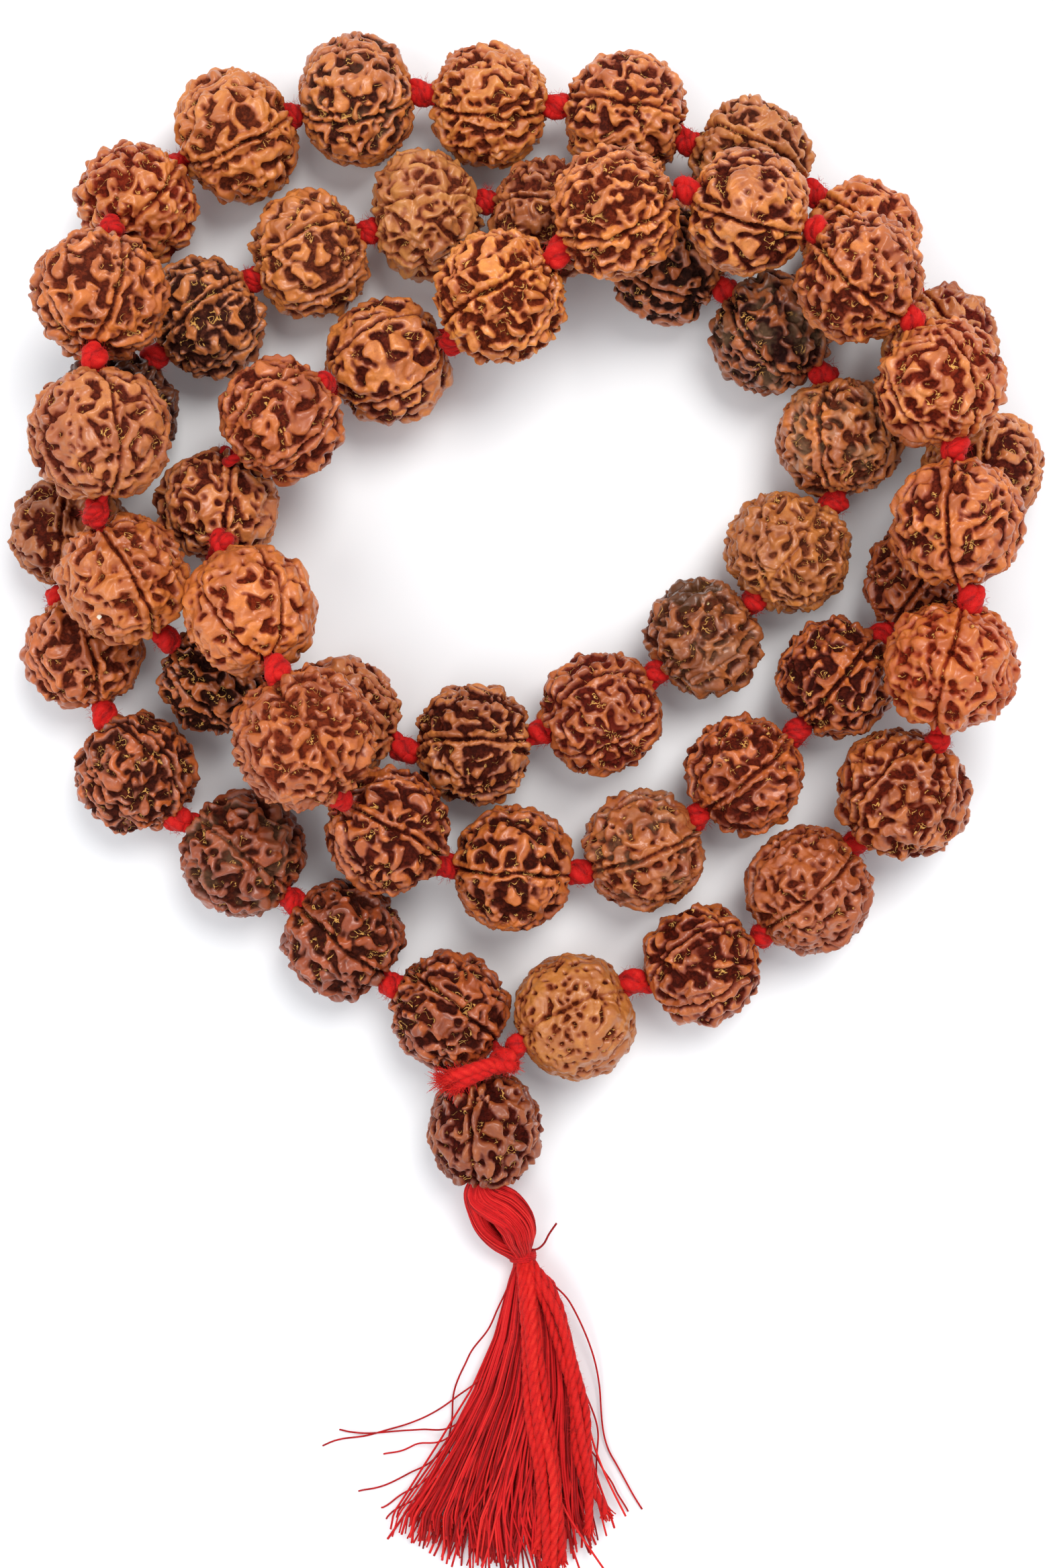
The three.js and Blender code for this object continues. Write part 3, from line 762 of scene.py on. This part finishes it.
def mouth(b, way, past=0.0):
    c, axis, _, along = b
    return c + axis * way * (POLE * along + past)


def across_to(direction):
    d = direction / np.linalg.norm(direction)
    k = np.array([0, 0, 1.0]) if abs(d[2]) < 0.9 else np.array([1.0, 0, 0])
    x = np.cross(k, d)
    x /= np.linalg.norm(x)
    return x, np.cross(d, x), d


def hermite(p0, t0, p1, t1, count):
    k = np.linalg.norm(p1 - p0)
    u = np.linspace(0, 1, count)[:, None]
    return (
        (2 * u**3 - 3 * u**2 + 1) * p0
        + (u**3 - 2 * u**2 + u) * t0 * k
        + (-2 * u**3 + 3 * u**2) * p1
        + (u**3 - u**2) * t1 * k
    )


def unit(v):
    return v / np.linalg.norm(v)


# Where each knot that shows is seen from above, in mm on the surface below it.
SEATS = {
    0: (18.8, -35.4, None),
    1: (42.5, -27.1, None),
    2: (59.1, -10.7, None),
    3: (73.8, 7.8, None),
    4: (79.9, 33.1, None),
    5: (77.0, 60.3, None),
    6: (69.1, 83.4, None),
    7: (52.2, 99.4, None),
    8: (28.8, 106.5, None),
    9: (5.5, 95.2, 0.6),
    10: (-13.3, 79.5, 0.9),
    11: (-36.6, 71.7, 0.95),
    13: (-54.6, 43.3, 0.95),
    14: (-44.8, 20.5, None),
    15: (-33.4, -2.5, 0.5),
    16: (-14.3, -14.7, None),
    17: (9.5, -15.9, None),
    18: (30.6, -5.9, None),
    19: (48.5, 9.3, None),
    20: (63.6, 26.5, None),
    24: (51.6, 105.9, None),
    25: (28.8, 114.6, None),
    26: (5.3, 121.6, None),
    27: (-19.0, 124.0, None),
    28: (-42.1, 119.9, None),
    30: (-74.5, 99.6, 0.95),
    31: (-77.6, 76.4, None),
    32: (-77.4, 48.6, None),
    33: (-64.6, 26.0, 0.5),
    35: (-21.8, 6.0, None),
    36: (2.5, 9.2, None),
    37: (23.3, 19.8, None),
    38: (40.7, 32.7, None),
    39: (55.0, 50.3, None),
    40: (53.2, 73.5, None),
    43: (-7.4, 104.5, None),
    44: (-28.2, 99.2, None),
    45: (-49.2, 90.5, None),
    48: (-84.0, 33.4, None),
    49: (-75.8, 12.4, None),
    50: (-62.4, -6.4, None),
    51: (-41.8, -21.1, None),
    52: (-24.2, -36.2, None),
    12: (-54.0, 58.3, 0.15),
}


last = len(beads) - 1
gaps = [
    float(np.linalg.norm(mouth(beads[i + 1], -1) - mouth(beads[i], 1)))
    for i in range(last)
]
knots = [(at(-1.6, -45.6, 13.2), unit(np.array([0.5, 0.8, 0.1])), 2.1, 2.2)]
start = at(-1.7, -45.7, 12.9)
route = [hermite(TIE, unit(start - TIE), start, unit(mouth(beads[0], -1, 0.5) - TIE), 12)]
route.append(
    hermite(start, unit(mouth(beads[0], -1, 0.5) - TIE), mouth(beads[0], -1, 0.5), beads[0][1], 8)[1:]
)
for i, b in enumerate(beads):
    past = min(1.0, 0.25 * gaps[i]) if i < last else 1.0
    a, c = route[-1][-1], mouth(b, 1, past)
    route.append(a + (c - a) * np.linspace(0, 1, 12)[1:, None])
    if i == last:
        break
    nxt = beads[i + 1]
    gap = gaps[i]
    e = mouth(nxt, -1, past)
    k = (c + e) / 2
    if i in SEATS:
        # where the knot sits: seen from above, and its height as a share of the way
        # from the lower mouth to the upper one
        ux, uy, share = SEATS[i]
        z = k[2] if share is None else min(c[2], e[2]) + share * abs(c[2] - e[2])
        seat = at(ux * (460 - z) / 460, uy * (460 - z) / 460, z)
        away = seat - k
        reach = 2.2 if share is None else 6.0
        far = np.linalg.norm(away)
        k = k + away * min(1, reach / max(far, 1e-6))
    direction = unit(unit(k - c) + unit(e - k) + 0.4 * (b[1] + nxt[1]))
    wide = gap > WIDE_GAP
    half = 2.3 if wide else min(max(gap / 2 + 0.2, 1.9), 2.5)
    r = 2.4 if wide else 2.5
    knots.append((k, direction, half, r))
    count = max(8, int(np.linalg.norm(k - c) / 0.2))
    route.append(hermite(c, b[1], k, direction, count)[1:])
    count = max(8, int(np.linalg.norm(e - k) / 0.2))
    route.append(hermite(k, direction, e, nxt[1], count)[1:])
end = at(-4.5, -47.2, 12.5)
c = route[-1][-1]
route.append(hermite(c, beads[last][1], end, unit(TIE - c), 16)[1:])
route.append(hermite(end, unit(TIE - c), TIE, unit(TIE - end), 8)[1:])
route = np.concatenate(route)
step = np.concatenate([[0], np.cumsum(np.linalg.norm(np.diff(route, axis=0), axis=1))])
even = np.linspace(0, step[-1], int(step[-1] / 0.32))
route = np.stack([np.interp(even, step, route[:, k]) for k in range(3)], 1)
for _ in range(80):  # the yarn takes its bends as curves
    route[1:-1] += 0.5 * ((route[:-2] + route[2:]) / 2 - route[1:-1])
lm = mouth(beads[last], 1)
knots.append((lm * 0.2 + end * 0.8, unit(end - lm), 1.0, 1.3))

rng = np.random.default_rng(77)
cord = Batch()
tubes(cord, route[None], np.full((1, len(route)), CORD_R * 1.04), 15, np.array([0.5]),
      lobes=3, pitch=5.0, depth=0.24)
cord = cord.make("wool_cord", [WOOL])

knot_mesh = Batch()
fuzz = Batch()


def fibres(batch, seats, outs, count, length, radius, rng, lay=0.55):
    """Fine curled fibres that leave the yarn near its surface."""
    i = rng.integers(0, len(seats), count)
    p, d = seats[i], outs[i]
    side = rng.normal(size=(count, 3))
    side -= (side * d).sum(1, keepdims=True) * d
    side /= np.linalg.norm(side, axis=1, keepdims=True)
    way = d * rng.uniform(0.25, 1.0, (count, 1)) + side * rng.uniform(0.3, 1.2, (count, 1))
    way /= np.linalg.norm(way, axis=1, keepdims=True)
    curl = rng.normal(size=(count, 3))
    L = length * rng.uniform(0.45, 1.25, (count, 1, 1))
    u = np.linspace(0, 1, 6)[None, :, None]
    P = p[:, None] + way[:, None] * u * L + curl[:, None] * (u**2) * L * lay * 0.45
    P -= d[:, None] * 0.12
    P[..., 2] = np.maximum(P[..., 2], 0.05)
    R = radius * (1 - 0.6 * np.linspace(0, 1, 6))[None] * np.ones((count, 1))
    tubes(batch, P, R, 3, rng.uniform(0.2, 1, count))


def tie_knot(centre, direction, half, r, rng, yarn=None, twist=None):
    """A round knot: yarn wound twice about the cord, over and under itself."""
    x, y, z = across_to(direction)
    a = np.linspace(0, 2 * np.pi, 72) + rng.uniform(0, 6)
    yarn = yarn or 0.43 * r
    ring = 0.36 * r + 0.20 * r * np.cos(3 * a)
    up = max(half - 0.80 * yarn, 0.2) * np.sin(3 * a)
    turn = 2 * a
    P = (
        centre
        + x * (ring * np.cos(turn))[:, None]
        + y * (ring * np.sin(turn))[:, None]
        + z * up[:, None]
    )
    tubes(knot_mesh, P[None], np.full((1, len(a)), yarn), 14,
          rng.uniform(0.35, 0.8, 1), lobes=3, pitch=3.6, depth=0.14,
          phase=rng.uniform(0, 6, 1))
    # the heart of the knot, which the windings close over
    la = np.linspace(-1, 1, 15)
    C = centre + z * (la * 0.86 * half)[:, None]
    tubes(knot_mesh, C[None], (0.84 * r * np.sqrt(1.001 - la**2))[None], 18,
          np.array([0.45]), lobes=5, pitch=9.0, depth=0.05)
    la = np.arcsin(rng.uniform(-0.95, 0.95, 200))
    lo = rng.uniform(0, 2 * np.pi, 200)
    outs = (
        x * (np.cos(la) * np.cos(lo))[:, None]
        + y * (np.cos(la) * np.sin(lo))[:, None]
        + z * np.sin(la)[:, None]
    )
    seats = (
        centre
        + x * (r * np.cos(la) * np.cos(lo))[:, None]
        + y * (r * np.cos(la) * np.sin(lo))[:, None]
        + z * (half * np.sin(la))[:, None]
    )
    fibres(fuzz, seats, outs, 120, 1.0, 0.032, rng)


for k, d, half, r in knots:
    tie_knot(k, d, half, r, rng)

# the two ends tied together, their cut and frayed tips, and the run through the guru
tie_knot(TIE, np.array([0.95, 0.25, 0.1]), 2.5, 2.5, rng)
tie = Batch()
stem = np.concatenate(
    [
        resample([TIE, at(-6.4, -49.5, 11.2), mouth(guru, -1)], 20),
        resample([mouth(guru, -1), mouth(guru, 1), EYE], 20)[1:],
    ]
)
tubes(tie, stem[None], np.full((1, len(stem)), CORD_R), 12, np.array([0.5]),
      lobes=3, pitch=5, depth=0.2)
ENDS = [
    ([TIE, at(-7.0, -48.6, 16.6), at(-10.6, -49.6, 17.8), at(-13.8, -50.8, 17.2), at(-16.6, -51.3, 15.8)], 1.15),
    ([TIE, at(-7.2, -49.9, 16.2), at(-10.0, -51.0, 17.2), at(-12.2, -52.2, 16.6), at(-13.6, -53.8, 15.2)], 1.15),
    ([TIE, at(-6.8, -49.3, 15.4), at(-10.4, -50.6, 16.4), at(-13.0, -51.4, 15.9), at(-15.6, -52.2, 14.9)], 0.95),
    ([TIE, at(-3.1, -48.6, 16.2), at(-2.2, -48.9, 15.6), at(-1.5, -49.0, 15.0)], 1.0),
]
for pts, r in ENDS:
    P = resample(pts, 44)
    R = np.full((1, 40), r)
    R[0, -10:] *= np.linspace(1, 0.5, 10)
    tubes(tie, P[None, :40], R, 15, rng.uniform(0.4, 0.8, 1),
          lobes=3, pitch=4.5, depth=0.2)
    d = unit(P[-1] - P[-8])
    x, y, z = across_to(d)
    # the plies come apart and fray
    n = 260 if len(pts) > 4 else 90
    lo = rng.uniform(0, 2 * np.pi, n)
    rr = r * np.sqrt(rng.uniform(0, 1, n))
    off = x * (rr * np.cos(lo))[:, None] + y * (rr * np.sin(lo))[:, None]
    u = np.linspace(0, 1, 9)[None, :, None]
    L = rng.uniform(0.5, 1.9, (n, 1, 1)) * (1 if len(pts) > 4 else 0.5)
    root = P[rng.integers(24, 38, n)]
    F = (root + off * 0.9)[:, None] + d * u * L + off[:, None] * u**1.4 * 0.45 * L
    bend = rng.normal(size=(n, 1, 3)) * 0.6
    F = F + bend * u**2 + np.roll(bend, 1, axis=2) * 0.35 * np.sin(u * 5)
    tubes(tie, F, 0.06 * (1 - 0.45 * u[0, :, 0])[None] * np.ones((n, 1)), 5,
          rng.uniform(0.2, 1, n))
    t, nn, b = frames_along(P[None])
    j = rng.integers(2, 42, 400)
    lo = rng.uniform(0, 2 * np.pi, 400)
    outs = nn[0, j] * np.cos(lo)[:, None] + b[0, j] * np.sin(lo)[:, None]
    fibres(fuzz, P[j] + outs * r * 0.9, outs, 320, 1.1, 0.032, rng)
tie = tie.make("tie_and_cut_ends", [WOOL])
knot_piece = knot_mesh.make("cord_knots", [WOOL])
fuzz_piece = fuzz.make("cord_fuzz", [FUZZ])
for o in (cord, knot_piece, fuzz_piece, tie):
    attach(o, "cord")
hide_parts("stringing_cord")


# ---- tassel ---------------------------------------------------------------
def table_at(rows, d, k):
    r = np.array(rows)
    return np.interp(d, r[:, 0], r[:, k])


def disc(rng, count, shell):
    a = rng.uniform(0, 2 * np.pi, count)
    r = np.sqrt(rng.uniform(0, 1, count))
    edge = rng.uniform(size=count) < shell
    r = np.where(edge, rng.uniform(0.88, 1.0, count), r)
    return r, a


def strand(batch, centre, wide, thick, count, radius, twist, rng, shell=0.6, steps=34,
           wander=0.10, sides=5):
    """Threads that run together along a centreline, turning about it."""
    C = resample(centre, steps)
    t, _, _ = frames_along(C[None])
    t = t[0]
    side = np.cross(t, np.array([0, 0, 1.0]))
    side /= np.linalg.norm(side, axis=1, keepdims=True)
    up = np.cross(side, t)
    s = np.linspace(0, 1, steps)
    w = np.interp(s, np.linspace(0, 1, len(wide)), wide)
    h = np.interp(s, np.linspace(0, 1, len(thick)), thick)
    r, a = disc(rng, count, shell)
    ang = a[:, None] + twist * s[None]
    r = r[:, None] * (1 + wander * np.sin(rng.uniform(0, 6, (count, 1)) + 5 * s[None]))
    P = (
        C[None]
        + side[None] * (w * r * np.cos(ang))[..., None]
        + up[None] * (h * r * np.sin(ang))[..., None]
    )
    R = radius * rng.uniform(0.8, 1.2, (count, 1)) * np.ones((1, steps))
    tubes(batch, P, R, sides, np.clip(rng.normal(0.5, 0.25, count), 0, 1))


rng = np.random.default_rng(901)
head = Batch()
few = 1.0
mouth_low = mouth(guru, 1)
strand(
    head,
    [mouth_low + [0, 1.2, 0], at(-8.9, -72.4, 9.3), at(-8.6, -75.4, 8.6), at(-7.6, -78.4, 7.6),
     at(-5.3, -81.1, 6.2), at(-2.6, -83.1, 4.7), at(-0.9, -84.6, 4.0)],
    [1.5, 2.0, 1.6, 1.3, 1.25, 1.15, 1.1], [1.2, 1.7, 1.6, 1.5, 1.3, 1.2, 1.0],
    int(170 * few), 0.14, 1.6, rng,
)
strand(
    head,
    [mouth_low + [0.2, 1.2, 0.1], at(-6.6, -72.0, 9.8), at(-3.6, -74.6, 9.6), at(-1.7, -77.6, 8.8),
     at(-1.2, -80.4, 7.2), at(-0.9, -82.7, 5.2), at(-0.7, -84.6, 4.0)],
    [1.6, 2.6, 3.1, 3.15, 2.7, 1.7, 1.2], [1.2, 2.0, 2.7, 2.9, 2.5, 1.6, 1.1],
    int(360 * few), 0.14, 1.3, rng, 0.7,
)
# threads behind the gap between the two
strand(
    head,
    [mouth_low + [0, 1.0, -0.6], at(-7.6, -73.2, 8.0), at(-6.0, -76.6, 6.2), at(-4.0, -80.0, 4.9),
     at(-2.0, -82.6, 4.0), at(-0.9, -84.4, 3.7)],
    [0.9, 1.8, 2.0, 1.9, 1.4, 0.9], [0.6, 0.8, 0.8, 0.8, 0.7, 0.6], int(110 * few), 0.14, 0.4, rng,
)
# threads that cross from the left of the mouth over to the right lobe
strand(
    head,
    [mouth_low + [-0.8, 1.0, 0.6], at(-9.0, -72.6, 10.2), at(-6.4, -74.6, 11.0), at(-3.4, -76.4, 11.2),
     at(-1.4, -79.0, 9.6), at(-0.7, -82.0, 6.6), at(-0.7, -84.4, 4.6)],
    [0.9, 1.5, 1.7, 1.9, 1.9, 1.4, 1.0], [0.5, 0.8, 0.9, 0.9, 0.9, 0.8, 0.7],
    int(140 * few), 0.14, 0.5, rng,
)
head = head.make("tassel_head_threads", [THREAD])
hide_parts("tassel_head")
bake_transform(head)

SKIRT = [
    [-1.5, 1.0, 1.0, 0.0], [0.0, 1.45, 1.4, 0.0], [1.8, 1.6, 1.5, 0.1],
    [4.6, 4.0, 2.2, 1.6], [14.2, 6.6, 3.2, 2.0], [24.0, 9.3, 3.5, 1.2],
    [33.0, 12.0, 3.5, -0.8], [46.0, 16.4, 2.9, -3.9], [56.0, 17.4, 2.5, -4.0],
]


def skirt_threads(batch, x, z, ends, rng, radius=0.2, steps=44, wave=1.0, lift=0.0):
    count = len(x)
    u = np.linspace(0, 1, steps)[None]
    d = -1.5 + (ends[:, None] + 1.5) * u
    w = table_at(SKIRT, d, 1)
    h = table_at(SKIRT, d, 2)
    drift = table_at(SKIRT, d, 3)
    sink = np.clip(d / 14, 0, 1)
    mid = (1 - sink) * 4.0 + sink * (h + 0.15)
    grow = (np.clip(d, 0, 60) / 56) ** 1.4
    sway = (
        np.sin(d / rng.uniform(7, 16, (count, 1)) + rng.uniform(0, 6, (count, 1)))
        * rng.uniform(0.1, 1.7, (count, 1))
        + np.sin(d / rng.uniform(2.5, 5, (count, 1)) + rng.uniform(0, 6, (count, 1)))
        * rng.uniform(0, 0.32, (count, 1))
    ) * wave
    # locks: neighbouring threads lean the same way, so the skirt parts here and there
    lean = 0.08 * grow * np.sin(9.0 * x[:, None] + 2.0 * z[:, None] + 0.07 * d)
    lock = np.round((x + 0.25 * z) * 7 + rng.normal(0, 0.35, count)) / 7
    tight = np.clip((d - ends[:, None] + 20) / 20, 0, 1) ** 1.3 * rng.choice([0.0, 0.45, 0.75], (count, 1))
    lean = lean + tight * (lock - x)[:, None]
    # some threads cross the others near their ends
    lean = lean + (rng.uniform(size=(count, 1)) < 0.3) * rng.normal(0, 0.30, (count, 1)) * grow**2
    X = NECK[0] + drift + w * (x[:, None] + rng.normal(0, 0.17, (count, 1)) * grow + lean) + sway * grow
    Y = NECK[1] - d
    Z = mid + h * z[:, None] + lift * grow + 0.5 * np.roll(sway, 7, axis=0) * grow * 0.4
    P = np.stack([X, Y, Z], -1)
    P[..., 2] = np.maximum(P[..., 2], radius + 0.02)
    R = radius * rng.uniform(0.75, 1.2, (count, 1)) * np.ones((1, steps))
    tubes(batch, P, R, 5, np.clip(rng.normal(0.45, 0.36, count), -0.1, 1.1))


def ends_for(x, rng):
    base = np.interp(x, [-1.1, -0.8, -0.3, 0.3, 0.7, 1.1], [45.5, 49.5, 53.5, 54.5, 51.5, 47.5])
    lock = np.round(x * 7)
    base = base + 1.3 * np.sin(2.7 * lock) + 0.8 * np.sin(5.1 * lock)
    return base + rng.normal(0, 1.2, len(x)) - rng.uniform(0, 6, len(x)) * (rng.uniform(size=len(x)) < 0.2)


skirt = Batch()
count = int(430 * few)
r, a = disc(rng, count, 0.25)
x, z = r * np.cos(a), r * np.sin(a)
skirt_threads(skirt, x, z, ends_for(x, rng), rng)
# stray threads, well outside the rest
STRAYS = [
    [(-1.6, -84.5, 5), (-2.9, -88, 5), (-5.6, -94.5, 4.0), (-10.3, -102.4, 2.2), (-12.6, -107.6, 1.2), (-13.8, -117.0, 0.6), (-13.6, -121.5, 0.8)],
    [(-3.0, -98, 5.5), (-6.2, -103.4, 4.5), (-12.9, -109.8, 2.4), (-20.8, -114.4, 1.0), (-26.8, -116.2, 0.5), (-33.5, -117.6, 0.4), (-36.4, -118.6, 0.4)],
    [(-4.0, -100, 5.0), (-11.6, -113.3, 3.0), (-18.9, -115.4, 1.5), (-26.8, -116.2, 0.7), (-31.0, -116.0, 0.5), (-33.4, -115.6, 0.5)],
    [(-5.0, -102, 5.0), (-12.6, -115.4, 2.6), (-20.2, -118.4, 1.2), (-25.6, -120.2, 0.4)],
    [(-6.0, -104, 5.0), (-14.2, -118.2, 2.4), (-21.2, -123.5, 1.2), (-26.8, -126.0, 0.5), (-30.2, -126.9, 0.3)],
    [(-6.5, -106, 4.5), (-13.0, -119.6, 2.8), (-19.6, -125.4, 1.4), (-25.6, -129.4, 0.5), (-26.2, -129.7, 0.4)],
    [(-5.5, -104, 4.5), (-12.0, -119.0, 2.8), (-18.6, -126.4, 1.6), (-24.6, -131.0, 0.6), (-25.2, -131.6, 0.5)],
    [(1.2, -85, 5.2), (4.6, -88.5, 6.0), (7.7, -92.0, 5.0), (11.3, -99.8, 3.0), (12.9, -107.6, 1.6), (14.2, -117.5, 0.8), (16.2, -122.5, 0.5), (20.9, -129.9, 0.4)],
    [(5.0, -96, 6.0), (9.6, -106.0, 4.4), (12.4, -114.2, 2.2), (12.7, -120.8, 1.0), (12.3, -128.0, 0.5)],
    [(6.0, -108, 5.0), (10.5, -117, 3.0), (14.4, -123.6, 1.2), (18.1, -130.2, 0.5)],
    [(6.0, -106, 5.0), (9.8, -116, 3.4), (12.8, -125.0, 1.6), (14.4, -129.6, 0.7)],
    [(7.0, -110, 5.0), (10.2, -120, 3.0), (12.4, -126.0, 1.8), (14.2, -129.9, 0.9)],
]
for pts in STRAYS:
    P = resample([at(*p) for p in pts], 60)
    s = np.linspace(0, 1, 60)
    wob = np.stack(
        [np.sin(s * rng.uniform(14, 30) + rng.uniform(0, 6)) * 0.16 for _ in range(3)], 1
    )
    wob[:, 2] *= 0.3
    P = P + wob * np.minimum(s * 4, 1)[:, None]
    P[:, 2] = np.maximum(P[:, 2], 0.2)
    tubes(skirt, P[None], np.full((1, 60), 0.17), 5, rng.uniform(0.1, 0.4, 1))
skirt = skirt.make("tassel_skirt_threads", [THREAD])
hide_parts("tassel_skirt")

# plied wool ends that lie over the threads
woolly = Batch()
wfuzz = Batch()


def wool(points, r, rng):
    P = resample([at(*p) for p in points], 190)
    s = np.linspace(0, 1, 190)
    P[:, 0] += 0.28 * np.sin(s * rng.uniform(9, 15) + rng.uniform(0, 6)) * np.minimum(5 * s, 1)
    P[:, 2] += 0.25 * np.sin(s * rng.uniform(9, 15) + rng.uniform(0, 6)) * np.minimum(5 * s, 1)
    P[:, 2] = np.maximum(P[:, 2], r)
    R = np.full((1, 190), r)
    R[0, -6:] *= np.linspace(1, 1.25, 6)
    tubes(woolly, P[None], R, 18, rng.uniform(0.45, 0.85, 1), lobes=3, pitch=6.5,
          depth=0.30, phase=rng.uniform(0, 6, 1))
    d = unit(P[-1] - P[-8])
    x, y, z = across_to(d)
    lo = rng.uniform(0, 2 * np.pi, 40)
    rr = r * np.sqrt(rng.uniform(0, 1, 40))
    off = x * (rr * np.cos(lo))[:, None] + y * (rr * np.sin(lo))[:, None]
    u = np.linspace(0, 1, 7)[None, :, None]
    L = rng.uniform(0.8, 2.0, (40, 1, 1))
    F = (P[-3] + off)[:, None] + d * u * L + off[:, None] * u**1.5 * 0.5
    F = F + rng.normal(size=(40, 1, 3)) * u**2 * 0.25
    F[..., 2] = np.maximum(F[..., 2], 0.12)
    tubes(woolly, F, np.full((40, 7), 0.12), 5, rng.uniform(0.3, 1, 40))
    t, n, b = frames_along(P[None])
    j = rng.integers(2, 188, 900)
    lo = rng.uniform(0, 2 * np.pi, 900)
    outs = n[0, j] * np.cos(lo)[:, None] + b[0, j] * np.sin(lo)[:, None]
    fibres(wfuzz, P[j] + outs * r * 0.85, outs, 700, 0.8, 0.028, rng)


A = [(-0.5, -84.6, 4.6), (0.2, -88.0, 7.6), (0.6, -95.0, 8.8), (1.0, -102.0, 9.2),
     (2.0, -110.5, 9.0), (3.6, -120.0, 8.0), (4.1, -130.0, 7.0), (4.0, -137.0, 6.0)]
B = [(0.0, -84.6, 4.8), (2.6, -88.0, 7.6), (4.8, -92.0, 8.2), (6.4, -97.0, 8.4),
     (7.8, -103.0, 8.2), (9.2, -110.5, 7.6), (9.8, -117.0, 6.8), (10.9, -124.0, 5.6), (11.4, -131.5, 4.6)]


def shifted(points, across, lift, grow):
    """The yarn beside the given one: apart at its end, close at the neck."""
    n = len(points)
    return [
        (
            p[0] + across * (grow[0] + (grow[1] - grow[0]) * i / (n - 1)),
            p[1],
            p[2] + lift * min(1, i / 2),
        )
        for i, p in enumerate(points)
    ]


for k, (dx, dz, cut) in enumerate([(-2.0, -0.9, -1.5), (-0.7, 0.0, 1.0), (0.7, 0.1, 1.6), (2.0, -0.7, 0.4)]):
    pts = shifted(A, dx, dz, (0.35, 1.0))
    pts[-1] = (pts[-1][0], pts[-1][1] - cut, pts[-1][2])
    wool(pts, 0.82, rng)
for k, (dx, dz, cut) in enumerate([(-1.5, -0.6, -6.0), (0.0, 0.2, 0.6), (1.2, -0.4, -2.0)]):
    pts = shifted(B, dx, dz, (0.6, 0.9) if k != 0 else (1.0, 0.4))
    pts[-1] = (pts[-1][0] + (1.6 if k == 2 else 0), pts[-1][1] - cut, pts[-1][2])
    wool(pts, 0.82, rng)
woolly = woolly.make("wool_yarn_ends", [WOOL])
wfuzz = wfuzz.make("wool_yarn_fuzz", [FUZZ])
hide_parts("woolly_yarn_ends")

# the binding round the neck, with its loose end
bind = Batch()
turns = 5.5
s = np.linspace(0, 1, 240)
ang = s * turns * 2 * np.pi + 1.0
rad = 2.05 + 0.22 * np.sin(s * np.pi)
yy = NECK[1] + 1.1 - 2.0 * s
P = np.stack([NECK[0] + rad * np.cos(ang), yy, NECK[2] + 0.92 * rad * np.sin(ang)], 1)
P[:, 2] = np.maximum(P[:, 2], 0.3)
tubes(bind, P[None], np.full((1, 240), 0.26), 8, np.array([0.45]), lobes=3, pitch=1.6, depth=0.15)
loose = resample([at(0.8, -82.6, 5.4), at(2.0, -82.3, 6.0), at(3.1, -81.3, 6.2), at(4.0, -79.6, 6.4), at(5.3, -77.7, 6.6)], 40)
tubes(bind, loose[None], np.full((1, 40), 0.2), 7, np.array([0.1]), lobes=3, pitch=1.4, depth=0.15)
bind = bind.make("neck_binding_thread", [THREAD])
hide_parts("neck_binding")
for o in (skirt, woolly, wfuzz):
    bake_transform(o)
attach(bind, "tassel_skirt")


# ---- floor, light, camera -------------------------------------------------
def floor_material():
    t = Tree("pale_floor")
    n = t.noise(40.0, 2)
    return t.finish(
        t.mix(n, (0.915, 0.935, 0.96, 1), (0.93, 0.95, 0.975, 1)), 0.9, None,
        Specular_IOR_Level=0.1,
    )


bpy.ops.mesh.primitive_plane_add(size=8.0, location=(0, 0, -0.0002))
floor = bpy.context.object
floor.name = "floor"
floor.data.materials.append(floor_material())

world = bpy.data.worlds.new("studio")
bpy.context.scene.world = world
world.use_nodes = True
world.node_tree.nodes["Background"].inputs["Color"].default_value = (0.94, 0.965, 1.0, 1)
world.node_tree.nodes["Background"].inputs["Strength"].default_value = 0.73


def area(name, where, size, power, colour=(1, 1, 1)):
    d = bpy.data.lights.new(name, "AREA")
    d.shape, d.size = "DISK", size
    d.energy, d.color = power, colour
    o = bpy.data.objects.new(name, d)
    o.location = where
    v = -np.array(where)
    from mathutils import Vector

    o.rotation_euler = Vector(v).to_track_quat("-Z", "Y").to_euler()
    bpy.context.scene.collection.objects.link(o)
    return o


area("key", (0.25, 0.45, 1.1), 0.6, 8.4, (1.0, 0.975, 0.94))
area("fill", (-0.5, -0.3, 1.1), 0.8, 4.4, (1.0, 0.99, 0.97))

cam = bpy.data.cameras.new("camera")
cam.sensor_fit = "HORIZONTAL"
cam.sensor_width = 36.0
cam.lens = 36.0 * 3816.5 / 1568
cam.clip_start, cam.clip_end = 0.01, 20
camera = bpy.data.objects.new("camera", cam)
camera.location = tuple(CAMERA * 0.001)
camera.rotation_euler = (0, 0, 0)
bpy.context.scene.collection.objects.link(camera)
bpy.context.scene.camera = camera
bpy.context.scene.view_settings.view_transform = "Standard"
bpy.context.scene.view_settings.look = "None"
